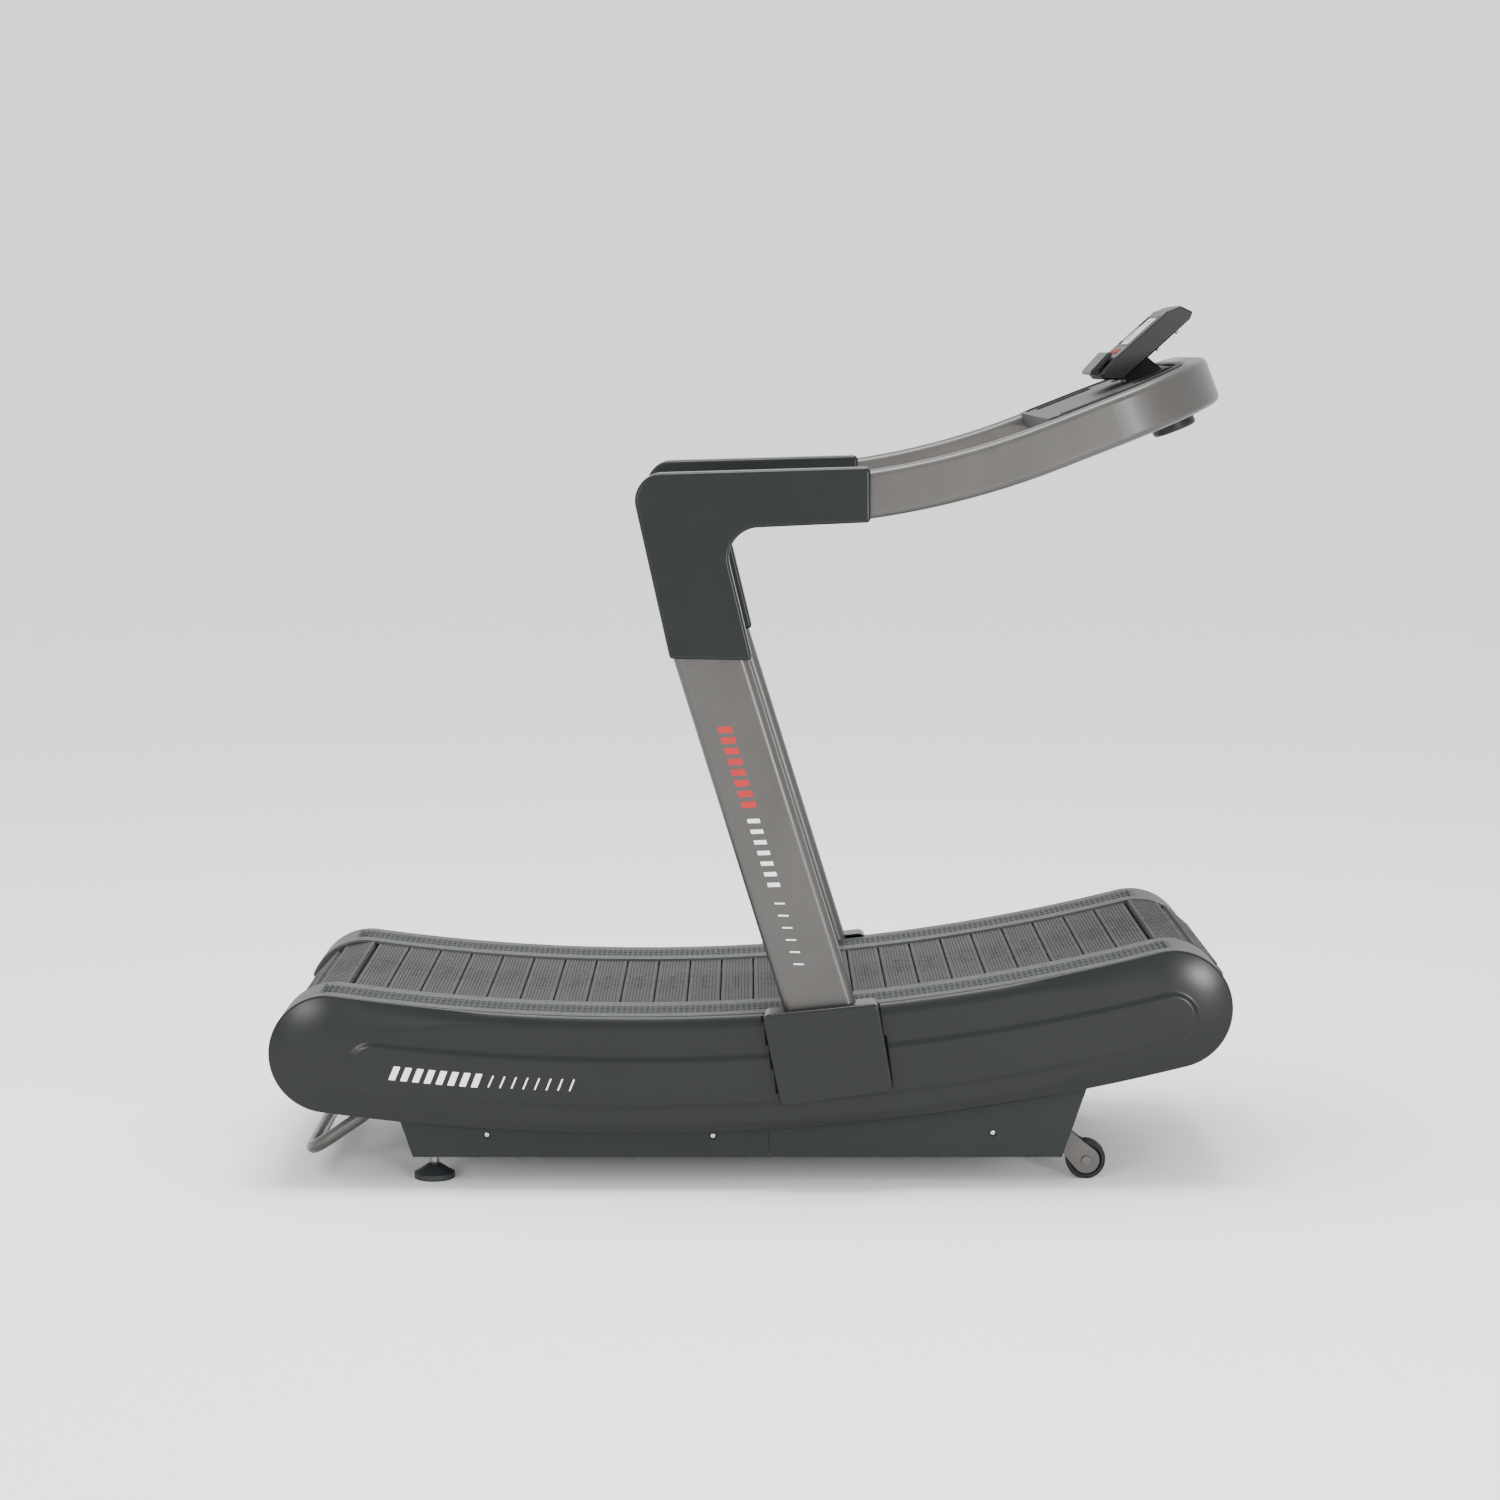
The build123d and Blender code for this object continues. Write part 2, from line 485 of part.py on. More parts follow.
HAND_SPIGOT = (80.0, 37.0, 4.0)                # height, thickness and wall of the bar in the handrail's end
NECK_OUTLINE = ((-135.0, 1025.0), (-182.0, 1250.0), (-170.0, 1309.0), (-84.0, 1309.0), (-84.0, 1229.0),
                (-98.0, 1229.0), (-55.0, 1050.0))


def upright():
    """Leaning tube, capped and carried on by a neck with the spigot that the handrail slides over."""
    tube = upright_bar(0, UPRIGHT_BOTTOM_Z, UPRIGHT_TOP_Z)
    tube -= upright_bar(0, UPRIGHT_BOTTOM_Z - 5, UPRIGHT_TOP_Z - 4, inset=TUBE_WALL)
    height, thick, wall = HAND_SPIGOT
    neck = slab(closed(NECK_OUTLINE, 4.0), HAND_Y - thick / 2, HAND_Y + thick / 2)
    frame = Plane(
        origin=(-86.0, HAND_Y, HAND_REAR[1] - 6 * tan(radians(HAND_REAR_SLOPE))), x_dir=(0, 1, 0),
        z_dir=(cos(radians(HAND_REAR_SLOPE)), 0, sin(radians(HAND_REAR_SLOPE))))
    edge_r = HAND_EDGE_R - TUBE_WALL
    section = RectangleRounded(thick, height, edge_r)
    section -= RectangleRounded(thick - 2 * wall, height - 2 * wall, edge_r - wall)
    spigot = extrude(frame * section, amount=146)
    body = tube + neck + spigot
    for x, z in upright_bolt_places():
        body -= rod(x, z, 5.0, UPRIGHT_Y - UPRIGHT_THICK / 2, UPRIGHT_Y)
    return body


def mount_middle():
    """Middle of the plate that the upright is bolted to."""
    middle_z = 250.0
    return UPRIGHT_MID[0] + (UPRIGHT_MID[1] - middle_z) * tan(radians(LEAN)), middle_z


def upright_bolt_places():
    x, z = mount_middle()
    lean, reach = radians(LEAN), 36.0
    return [
        (x + reach * (a * cos(lean) - b * sin(lean)), z + reach * (a * sin(lean) + b * cos(lean)))
        for a in (-1, 1) for b in (-1, 1)
    ]


def upright_mount():
    """Box beam out from the side plate with the plate that takes the upright's bolts."""
    x, z = mount_middle()
    plate_y = UPRIGHT_Y - UPRIGHT_THICK / 2
    inner_y = plate_y - MOUNT_PLATE_THICK
    plate = slab(Rectangle(MOUNT_PLATE_SIZE, MOUNT_PLATE_SIZE), inner_y, plate_y, (x, z), LEAN)
    beam = slab(Rectangle(50, 56) - Rectangle(42, 48), PLATE_OUTER_Y, inner_y, (x, z), LEAN)
    mount = plate + beam
    for bolt_x, bolt_z in upright_bolt_places():
        mount -= rod(bolt_x, bolt_z, 5.0, plate_y - MOUNT_PLATE_THICK, plate_y)
    return mount


def upright_bolt(x, z):
    plate_y = UPRIGHT_Y - UPRIGHT_THICK / 2
    head_y = plate_y - MOUNT_PLATE_THICK
    return rod(x, z, 5.0, head_y, plate_y + 9) + slab(Pos(x, z) * RegularPolygon(9.5, 6), head_y - 7, head_y)


# Handrail

def slope_step(point, start, end, radius):
    """The point reached from another along an upward arc between two slopes."""
    start, end = radians(start), radians(end)
    return point[0] + radius * (sin(end) - sin(start)), point[1] + radius * (cos(start) - cos(end))


HAND_BEND = (HAND_REAR[0] + HAND_STRAIGHT * cos(radians(HAND_REAR_SLOPE)),
             HAND_REAR[1] + HAND_STRAIGHT * sin(radians(HAND_REAR_SLOPE)))
HAND_SLEEVE_END = slope_step(HAND_BEND, HAND_REAR_SLOPE, HAND_SLEEVE_SLOPE, HAND_BEND_R)
HAND_ARC_END = slope_step(HAND_SLEEVE_END, HAND_SLEEVE_SLOPE, HAND_SLOPE, HAND_ARC_R)


def hand_section(point, slope, grow, hollow):
    slope = radians(slope)
    frame = Plane(origin=(point[0], HAND_Y, point[1]), x_dir=(0, 1, 0), z_dir=(cos(slope), 0, sin(slope)))
    section = RectangleRounded(HAND_THICK + 2 * grow, HAND_HEIGHT + 2 * grow, HAND_EDGE_R + grow)
    if hollow:
        wall = 2 * TUBE_WALL
        section -= RectangleRounded(HAND_THICK - wall, HAND_HEIGHT - wall, HAND_EDGE_R - TUBE_WALL)
    return frame * section


def hand_bend(point, start, end, radius, grow, hollow):
    centre = (point[0] - radius * sin(radians(start)), HAND_Y, point[1] + radius * cos(radians(start)))
    return revolve(hand_section(point, start, grow, hollow), Axis(centre, (0, -1, 0)), end - start)


def handrail_half(grow=0.0, hollow=True):
    """Left half of the handrail, to the middle of its front bar."""
    rail = extrude(hand_section(HAND_REAR, HAND_REAR_SLOPE, grow, hollow), amount=HAND_STRAIGHT)
    rail += hand_bend(HAND_BEND, HAND_REAR_SLOPE, HAND_SLEEVE_SLOPE, HAND_BEND_R, grow, hollow)
    rail += hand_bend(HAND_SLEEVE_END, HAND_SLEEVE_SLOPE, HAND_SLOPE, HAND_ARC_R, grow, hollow)
    run = HAND_FRONT - HAND_CORNER_R
    rail += extrude(hand_section(HAND_ARC_END, HAND_SLOPE, grow, hollow), amount=run)
    slope = radians(HAND_SLOPE)
    corner = (HAND_ARC_END[0] + run * cos(slope), HAND_ARC_END[1] + run * sin(slope))
    axis = Axis((corner[0], HAND_Y - HAND_CORNER_R, corner[1]), (sin(slope), 0, -cos(slope)))
    rail += revolve(hand_section(corner, HAND_SLOPE, grow, hollow), axis, 90)
    front = rail.faces().sort_by(Axis.Y)[0]
    return rail + extrude(front, amount=HAND_Y - HAND_CORNER_R, dir=(0, -1, 0))


# Grip covers over the corner between upright and handrail

def grip_body():
    outline = closed(GRIP_OUTLINE, [7, GRIP_CORNER_R, 8, 8, GRIP_INNER_CORNER_R, 7])
    low, high = UPRIGHT_Y - GRIP_HALF_THICK, UPRIGHT_Y + GRIP_HALF_THICK
    body = slab(outline, low, high)
    flats = body.faces().sort_by(Axis.Y)
    body = fillet(flats[0].edges() + flats[-1].edges(), 6.0)
    body -= slab(offset(outline, amount=-GRIP_WALL, kind=Kind.ARC), low + GRIP_WALL, high - GRIP_WALL)
    body -= upright_bar(GRIP_FIT, 900, UPRIGHT_TOP_Z)
    return body - handrail_half(GRIP_FIT, hollow=False)


CAP_DEPTH, CAP_REAR_Z = 19.0, 1276.0


def cap_region():
    """Everything above the line where the grip cover's cap meets its shell."""
    front, corner = (260.0, 1334.5 - CAP_DEPTH), (-140.0, 1322.5 - CAP_DEPTH)
    turn, rear = (-187.0, CAP_REAR_Z), (-260.0, CAP_REAR_Z)
    line = [Line(front, corner), ThreePointArc(corner, (-169.0, 1294.0), turn), Line(turn, rear)]
    edge = [Line(rear, (-260.0, 1400.0)), Line((-260.0, 1400.0), (260.0, 1400.0)), Line((260.0, 1400.0), front)]
    return slab(make_face(line + edge), UPRIGHT_Y - 60, UPRIGHT_Y + 60)


# Tray and cup holders, drawn flat and set on the handrail's slope

def on_slope(shape):
    return tilted(HAND_ARC_END, HAND_SLOPE).location * shape


def tray_outline(inset):
    """The space inside the handrail's U."""
    half, corner = HAND_Y - HAND_THICK / 2 - inset, HAND_CORNER_R - HAND_THICK / 2 - inset
    front = HAND_FRONT - HAND_THICK / 2 - inset
    rear = TRAY_REAR + inset
    points = ((rear, -half), (front, -half), (front, half), (rear, half))
    rear_r = TRAY_CORNER_R - inset
    return make_face(FilletPolyline(*points, radius=[rear_r, corner, corner, rear_r], close=True))


POCKET_S, POCKET_Y, POCKET_DEPTH = (38.0, 150.0), (222.0, 296.0), 18.0


def tray():
    plate_z = TRAY_TOP - TRAY_PLATE
    body = Pos(0, 0, TRAY_TOP - TRAY_DEPTH) * extrude(tray_outline(0), amount=TRAY_DEPTH)
    body -= Pos(0, 0, TRAY_TOP - TRAY_DEPTH) * extrude(tray_outline(TRAY_RIM), amount=TRAY_DEPTH - TRAY_PLATE)
    rim = extrude(tray_outline(0), amount=3.5) - extrude(tray_outline(TRAY_RIM_WIDTH), amount=3.5)
    body += Pos(0, 0, TRAY_TOP) * rim
    for side in (-1, 1):
        y = sorted((side * POCKET_Y[0], side * POCKET_Y[1]))
        wall = 3.0
        outer = ((POCKET_S[0] - wall, POCKET_S[1] + wall), (y[0] - wall, y[1] + wall))
        body += box_between(*outer, (TRAY_TOP - POCKET_DEPTH - wall, plate_z))
        body -= box_between(POCKET_S, y, (TRAY_TOP - POCKET_DEPTH, TRAY_TOP))
        body -= Pos(CUP_PLACE[0], side * CUP_PLACE[1], plate_z) * Cylinder(
            CUP_R, TRAY_PLATE, align=(Align.CENTER, Align.CENTER, Align.MIN))
    return on_slope(body)


def cup_holder(side):
    place = Pos(CUP_PLACE[0], side * CUP_PLACE[1], CUP_BOTTOM)
    up = (Align.CENTER, Align.CENTER, Align.MIN)
    height = TRAY_TOP - CUP_BOTTOM
    cup = Cylinder(CUP_R, height, align=up)
    cup = fillet(cup.edges().sort_by(Axis.Z)[0], 6.0)
    lip = Pos(0, 0, height) * Cylinder(CUP_R + 3, 2.5, align=up)
    bore = Pos(0, 0, CUP_WALL) * Cylinder(CUP_R - CUP_WALL, height + 5, align=up)
    return on_slope(place * (cup + lip - bore))


# Console

def console_slab(face, low_y, high_y):
    return slab(face, low_y, high_y, CONSOLE_ORIGIN, CONSOLE_LEAN)


def console_box(t, y, n):
    """Box in the console's own frame: t up its face, n out of it."""
    outline = Polyline((t[0], n[0]), (t[1], n[0]), (t[1], n[1]), (t[0], n[1]), close=True)
    return console_slab(make_face(outline), y[0], y[1])


def console_pin(t, y, radius, low_n, high_n):
    frame = tilted(CONSOLE_ORIGIN, CONSOLE_LEAN).location
    pin = Cylinder(radius, high_n - low_n, align=(Align.CENTER, Align.CENTER, Align.MIN))
    return frame * (Pos(t, y, low_n) * pin)


CONSOLE_PROFILE = make_face(Polyline(*CONSOLE_OUTLINE, close=True))
BACK_T, BACK_HALF_WIDTH, BACK_THICK = (2.0, 138.0), 98.0, 2.5
CONSOLE_SCREWS = [(t, y) for t in (71.0, 119.0) for y in (-80.0, 80.0)]


def console_housing():
    half = CONSOLE_HALF_WIDTH
    body = console_slab(CONSOLE_PROFILE, -half, half)
    flats = body.faces().sort_by(Axis.Y)
    body = fillet(flats[0].edges() + flats[-1].edges(), 4.0)
    cavity = offset(CONSOLE_PROFILE, amount=-CONSOLE_WALL, kind=Kind.INTERSECTION)
    body -= console_slab(cavity, -half + CONSOLE_WALL, half - CONSOLE_WALL)
    body -= console_box(BACK_T, (-BACK_HALF_WIDTH, BACK_HALF_WIDTH), (-60, -30))
    up, across = SCREEN_SIZE
    body -= console_box((SCREEN_MID - up / 2, SCREEN_MID + up / 2), (-across / 2, across / 2), (-10, 5))
    for y in BUTTON_Y:
        body -= console_pin(BUTTON_UP, y, BUTTON_R + BUTTON_CLEARANCE, -10, 5)
    return body


def console_back():
    window = console_box(BACK_T, (-BACK_HALF_WIDTH, BACK_HALF_WIDTH), (-60, -30))
    cavity = offset(CONSOLE_PROFILE, amount=-BACK_THICK, kind=Kind.INTERSECTION)
    half = CONSOLE_HALF_WIDTH
    back = (console_slab(CONSOLE_PROFILE, -half, half) & window) - console_slab(cavity, -half, half)
    for t, y in CONSOLE_SCREWS:
        back -= console_pin(t, y, 2.0, -60, -30)
    return back


def console_screw(t, y):
    return console_pin(t, y, 2.0, -43, -34) + console_pin(t, y, 4.0, -46, -42.2)


def screen():
    up, across = SCREEN_SIZE
    return console_box((SCREEN_MID - up / 2, SCREEN_MID + up / 2), (-across / 2, across / 2),
                       (-CONSOLE_WALL, -CONSOLE_WALL + SCREEN_THICK))


def console_board():
    """Circuit board behind the screen and the buttons."""
    return console_box((4, 125), (-95, 95), (-14, -12.4))


def button(y):
    flange = console_pin(BUTTON_UP, y, BUTTON_R + 2, -6, -CONSOLE_WALL - 0.3)
    cap = console_pin(BUTTON_UP, y, BUTTON_R, -6, 1.8)
    return fillet((flange + cap).edges().filter_by(GeomType.CIRCLE).sort_by(Axis.Z)[-1], 0.8)


def console_bracket():
    """Wedge between the tray and the back of the console."""
    slope, lean = radians(HAND_SLOPE), radians(CONSOLE_LEAN)

    def on_back(t):
        n = CONSOLE_OUTLINE[6][1] + (t - CONSOLE_OUTLINE[6][0]) * (
            CONSOLE_OUTLINE[5][1] - CONSOLE_OUTLINE[6][1]) / (CONSOLE_OUTLINE[5][0] - CONSOLE_OUTLINE[6][0])
        x = CONSOLE_ORIGIN[0] + t * cos(lean) - n * sin(lean)
        return x, CONSOLE_ORIGIN[1] + t * sin(lean) + n * cos(lean)

    def on_tray(s):
        return (HAND_ARC_END[0] + s * cos(slope) - TRAY_TOP * sin(slope),
                HAND_ARC_END[1] + s * sin(slope) + TRAY_TOP * cos(slope))

    return slab(make_face(Polyline(on_back(-6), on_back(50), on_tray(262), on_tray(190), close=True)), -45, 45)


def device_ledge():
    """Lip in front of the console's lower edge that holds a phone or tablet."""
    lip = Pos(-25.5, 6.5) * Rot(0, 0, 5.6) * SlotOverall(54, 10)
    web = make_face(Polyline((-40, -5.58), (-30, -4.19), (-30, 4), (-40, 4), close=True))
    return console_slab(lip, -82, 82) + console_slab(web, -70, 70)


# Feet, transport wheels and rear handle

FOOT_AXIS_UP = (Align.CENTER, Align.CENTER, Align.MIN)


def foot_pad():
    pad = Cylinder(FOOT_R, 11, align=FOOT_AXIS_UP)
    pad = fillet(pad.edges().sort_by(Axis.Z)[0], 2.0)
    cone = Pos(0, 0, 11) * Cone(FOOT_R - 2, 14, 15, align=FOOT_AXIS_UP)
    socket = Pos(0, 0, 18) * Cylinder(7, 20, align=FOOT_AXIS_UP)
    return Pos(FOOT_X, FOOT_Y, 0) * (pad + cone - socket)


def foot_stud():
    """Threaded stud with its lock nut just under the base rail."""
    stud = Pos(0, 0, 18) * Cylinder(7, 20, align=FOOT_AXIS_UP)
    stud += Pos(0, 0, 26) * Cylinder(FOOT_STUD_R, 60, align=FOOT_AXIS_UP)
    nut = Pos(0, 0, BASE_Z - 12.5) * extrude(RegularPolygon(14, 6), amount=12)
    return Pos(FOOT_X, FOOT_Y, 0) * (stud + nut)


def wheel():
    """Transport wheel with a tyre band, a thin web and a hub."""
    x, z = WHEEL_AXLE
    low, high = WHEEL_Y - WHEEL_WIDTH / 2, WHEEL_Y + WHEEL_WIDTH / 2
    body = rod(x, z, WHEEL_R, low, high)
    body = fillet(body.edges().filter_by(GeomType.CIRCLE), 3.0)
    for side in (low, high - 8):
        body -= rod(x, z, WHEEL_R - 8, side, side + 8) - rod(x, z, 12, side, side + 8)
    hole_ring = 20.0
    for index in range(8):
        hole = polar((x, z), hole_ring, index * pi / 4)
        body -= rod(hole[0], hole[1], 4.5, low, high)
    return body - rod(x, z, WHEEL_BOLT_R + RUNNING_CLEARANCE, low, high)


def wheel_fork():
    """Pair of plates on the front end of a base rail, each side of the wheel."""
    x, z = WHEEL_AXLE
    heel = Line((BASE_FRONT_X, BASE_Z + 2), (BASE_FRONT_X, BASE_Z + BASE_HEIGHT - 2))
    plate = make_hull((Pos(x, z) * Circle(FORK_END_R)).edges() + [heel.edge()])
    reach = WHEEL_WIDTH / 2 + FORK_GAP
    plates = [slab(plate, WHEEL_Y + reach, WHEEL_Y + reach + FORK_THICK),
              slab(plate, WHEEL_Y - reach - FORK_THICK, WHEEL_Y - reach)]
    return [shape - rod(x, z, WHEEL_BOLT_R, 200, 300) for shape in plates]


def wheel_bolt():
    x, z = WHEEL_AXLE
    outer = WHEEL_Y + WHEEL_WIDTH / 2 + FORK_GAP + FORK_THICK
    inner = WHEEL_Y - WHEEL_WIDTH / 2 - FORK_GAP - FORK_THICK
    bolt = rod(x, z, WHEEL_BOLT_R, inner - 9, outer) + rod(x, z, 8.5, outer, outer + 5)
    return bolt + slab(Pos(x, z) * RegularPolygon(9.5, 6), inner - 8, inner)


def rear_handle():
    """Bent tube to lift the machine by, with a tab on each leg that meets the side plate."""
    (low_x, low_z), (high_x, high_z), y = HANDLE_LOW, HANDLE_HIGH, HANDLE_Y
    corners = [(high_x, y, high_z), (low_x, y, low_z), (low_x, -y, low_z), (high_x, -y, high_z)]
    path = FilletPolyline(*corners, radius=HANDLE_CORNER_R)
    handle = sweep(Plane(path @ 0, z_dir=path % 0) * Circle(HANDLE_R), path=path)
    slope = degrees(atan((high_z - low_z) / (high_x - low_x)))
    tab = slab(Pos(-30, 0) * Rectangle(60, 34), PLATE_OUTER_Y, y - HANDLE_R + 3, HANDLE_HIGH, slope)
    return handle + tab + mirrored(tab)


def write_belt_loop():
    names = {"top": "top_run", "front_wrap": "front_wrap", "return": "return_run", "rear_wrap": "rear_wrap"}
    plate, tread = slat_plate(), slat_tread()
    for run, name in names.items():
        places = slat_places(run)
        save(f"{name}_slats", *[place * plate for place in places])
        save(f"{name}_treads", *[place * tread for place in places])
        save(f"{name}_belts", *belts(run))


def write_drums():
    save("front_pulleys", *pair(drum_pulley(FRONT_DRUM)))
    save("rear_pulleys", *pair(drum_pulley(REAR_DRUM)))
    save("front_axle", axle(FRONT_DRUM, -CLUTCH_OUTER_Y - 4, AXLE_HALF_LENGTH))
    save("rear_axle", axle(REAR_DRUM, -AXLE_HALF_LENGTH, AXLE_HALF_LENGTH))
    blocks = [bearing_block(FRONT_DRUM), bearing_block(REAR_DRUM)]
    save("axle_bearing_blocks", *[solid for block in blocks for solid in pair(block)])
    save("one_way_clutch", one_way_clutch())
    save("belt_tension_screws", *pair(tension_bolt()))


def write_frame():
    plate = side_plate()
    save("left_side_plate", plate)
    save("right_side_plate", mirrored(plate))
    save("base_frame", base_frame())
    save("deck_crossmembers", *[crossmember(place) for place in crossmember_places()])
    places = bearing_places()
    save("track_bearings", *[solid for place in places for solid in pair(track_bearing(place))])
    save("track_bearing_studs", *[solid for place in places for solid in pair(track_stud(place))])
    turns = [REAR_TURN + RUN_SPAN * index / TOP_PITCHES for index in BRACKET_PITCHES]
    save("foot_rail_brackets", *[solid for turn in turns for solid in pair(rail_bracket(turn))])
    save("upright_mounts", *pair(upright_mount()))
    bolts = [upright_bolt(x, z) for x, z in upright_bolt_places()] + [wheel_bolt()]
    save("frame_bolts", *[solid for bolt in bolts for solid in pair(bolt)])
    save("rear_handle", rear_handle())


def write_sides():
    screws = [skirt_screw(x, z) for x, z in SKIRT_SCREWS]
    save("skirt_screws", *[solid for screw in screws for solid in pair(screw)])
    grip = grip_body()
    save("grip_caps", *pair(grip & cap_region()))
    pieces = {
        "side_cover": [side_cover()], "foot_rail": [foot_rail()], "skirt": [skirt()], "boot": [boot()],
        "upright": [upright()], "grip_cover": [grip - cap_region()],
        "foot": [foot_pad(), foot_stud()], "wheel": [wheel()],
    }
    for name, solids in pieces.items():
        save(f"left_{name}", *solids)
        save(f"right_{name}", *[mirrored(solid) for solid in solids])


def write_top():
    half = handrail_half()
    save("handrail", half + mirrored(half))
    save("tray", tray())
    save("cup_holders", cup_holder(1), cup_holder(-1))
    save("console_housing", console_housing())
    save("console_back", console_back())
    save("console_screws", *[console_screw(t, y) for t, y in CONSOLE_SCREWS])
    save("console_screen", screen())
    save("console_board", console_board())
    save("console_bracket", console_bracket())
    save("device_ledge", device_ledge())
    for name, y in zip(("start_button", "mode_button", "stop_button"), BUTTON_Y):
        save(name, button(y))


os.makedirs("parts", exist_ok=True)
write_belt_loop()
write_drums()
write_frame()
write_sides()
write_top()
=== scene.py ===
"""Looks of a curved manual treadmill, built around its CAD frame. Metres; X forwards, Y left, Z up."""

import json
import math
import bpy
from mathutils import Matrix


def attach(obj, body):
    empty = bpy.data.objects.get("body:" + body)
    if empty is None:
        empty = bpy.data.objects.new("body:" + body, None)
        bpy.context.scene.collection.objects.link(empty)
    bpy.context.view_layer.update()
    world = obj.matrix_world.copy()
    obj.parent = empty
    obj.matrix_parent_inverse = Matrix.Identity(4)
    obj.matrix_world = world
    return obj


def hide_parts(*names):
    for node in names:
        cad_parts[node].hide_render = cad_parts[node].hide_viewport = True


bl_info = {
    "name": "Curved Treadmill Looks",
    "version": (1, 0, 0),
    "blender": (4, 5, 0),
    "location": "3D View > Sidebar > Treadmill",
    "description": "Builds the visible covers, treads, patterns and finishes of a curved treadmill",
    "category": "Object",
}

import bmesh
import bpy
from bpy.props import FloatProperty, FloatVectorProperty, IntProperty, PointerProperty
from bpy.types import Operator, Panel, PropertyGroup
from mathutils import Matrix, Vector

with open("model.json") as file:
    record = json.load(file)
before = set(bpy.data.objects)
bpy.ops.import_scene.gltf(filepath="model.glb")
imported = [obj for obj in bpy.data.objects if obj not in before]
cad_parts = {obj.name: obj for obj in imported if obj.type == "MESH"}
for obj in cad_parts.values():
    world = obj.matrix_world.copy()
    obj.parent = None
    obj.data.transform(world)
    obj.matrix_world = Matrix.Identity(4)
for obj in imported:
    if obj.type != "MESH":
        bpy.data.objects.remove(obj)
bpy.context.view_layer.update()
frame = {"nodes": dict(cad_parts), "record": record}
NODES = frame["nodes"]

MM = 0.001
LEAN = math.radians(17.3)                      # how far the uprights lean back
CONSOLE_LEAN = math.radians(41.86)
CONSOLE_FOOT = (0.677, 1.529)                  # lower edge of the console's face (x, z)
DISPLAY_UP = 0.074                             # the display's middle, measured up that face
WHEEL_FORK_X = 0.570                           # the base is silver ahead of this
FOOT_NECK_Z = 0.0305                           # a levelling foot is steel above this

# The belt loop: centres (x, z) and radii of the running arc, both drums and the return arc.
# Turns are measured about a centre from straight down.
RUN_CENTRE = (-0.2185, 4.2633)
RUN_R = 3.958
RUN_ENDS_X = (-0.7525, 0.749)
REAR_TURN, FRONT_TURN = (math.asin((x - RUN_CENTRE[0]) / RUN_R) for x in RUN_ENDS_X)
RUN_SLATS, RETURN_SLATS, WRAP_SLATS = 24, 25, 5
DRUM_R, RETURN_R = 0.0989451, 5.36221
REAR_DRUM, FRONT_DRUM = (-0.765849, 0.243448), (0.773186, 0.329426)
RETURN_CENTRE = (-0.286743, 5.484861)
PITCH = RUN_R * (FRONT_TURN - REAR_TURN) / RUN_SLATS
LOOP_TILT = (REAR_TURN + FRONT_TURN) / 2
RETURN_HALF = RETURN_SLATS * PITCH / RETURN_R / 2
RETURN_FRONT, RETURN_REAR = LOOP_TILT + RETURN_HALF, LOOP_TILT - RETURN_HALF

# Each run: body, centre, radius, first and last turn, slats, and 1 where they face away from the
# centre
RUNS = {
    "top_run": ("top_run", RUN_CENTRE, RUN_R, REAR_TURN, FRONT_TURN, RUN_SLATS, 0),
    "front_wrap": ("front_drum", FRONT_DRUM, DRUM_R, FRONT_TURN + math.pi, RETURN_FRONT, WRAP_SLATS, 1),
    "return_run": ("return_run", RETURN_CENTRE, RETURN_R, RETURN_FRONT, RETURN_REAR, RETURN_SLATS, 1),
    "rear_wrap": ("rear_drum", REAR_DRUM, DRUM_R, RETURN_REAR, REAR_TURN - math.pi, WRAP_SLATS, 1),
}
TREAD_HALF_LENGTH = 0.216
TREAD_FOOT, TREAD_TOP = 12.2 * MM, 19.2 * MM   # heights above the belt line

# Side cover: a band along the running arc with round ends
COVER_MID_R, COVER_HALF = 4.046, 0.110
COVER_TURNS = (math.radians(-7.99), math.radians(14.17))
COVER_INNER_Y, COVER_RIM_Y, COVER_FACE_Y = 0.311, 0.3555, 0.371
COVER_WALL, PANEL_LIFT = 0.0028, 0.004
PANEL_MID_R, PANEL_HALF = 4.058, 0.044
PANEL_TURNS = (math.radians(-6.8), math.radians(14.1))
RAIL_EDGE_Y, RAIL_WRAP = 0.3554, math.radians(78)
BOOT_CORNERS = ((0.016, 0.338), (0.229, 0.360), (0.258, 0.196), (0.052, 0.166))
BAR_RADIUS = 4.062                             # of the arc that the plain bars on a cover follow

# Foot rails: the gripping band and the two rows of links on it
RAIL_TOP_R = COVER_MID_R - COVER_HALF
BAND_Y, BAND_X = (0.258, 0.326), (-0.801, 0.774)
BAND_EDGE = 0.002
LINK_ROWS_X, LINK_STEP = (-0.792, 0.765), 10.5 * MM
LINK_FIRST_Y, LINK_ROW_STEP = 0.2755, 0.031

# Skirt screws: where they sit (x, z), and the skirt's outer face
SKIRT_SCREWS = ((-0.494, 0.094), (-0.074, 0.092), (0.446, 0.098))
SKIRT_FACE_Y = 0.307

# Uprights: a point on the axis (x, z), and the bars on their outer face
UPRIGHT_AXIS = (0.120, 0.357)
BAR_SET_BACK = 0.014
BAR_Y = (0.3715, 0.3722)


def polar(centre, radius, turn):
    return (centre[0] + radius * math.sin(turn), centre[1] - radius * math.cos(turn))


def smooth(value):
    value = min(max(value, 0.0), 1.0)
    return value * value * (3 - 2 * value)


def shade(colour, factor):
    """A colour made darker or lighter."""
    return tuple(min(c * factor, 1.0) for c in colour[:3]) + (1.0,)


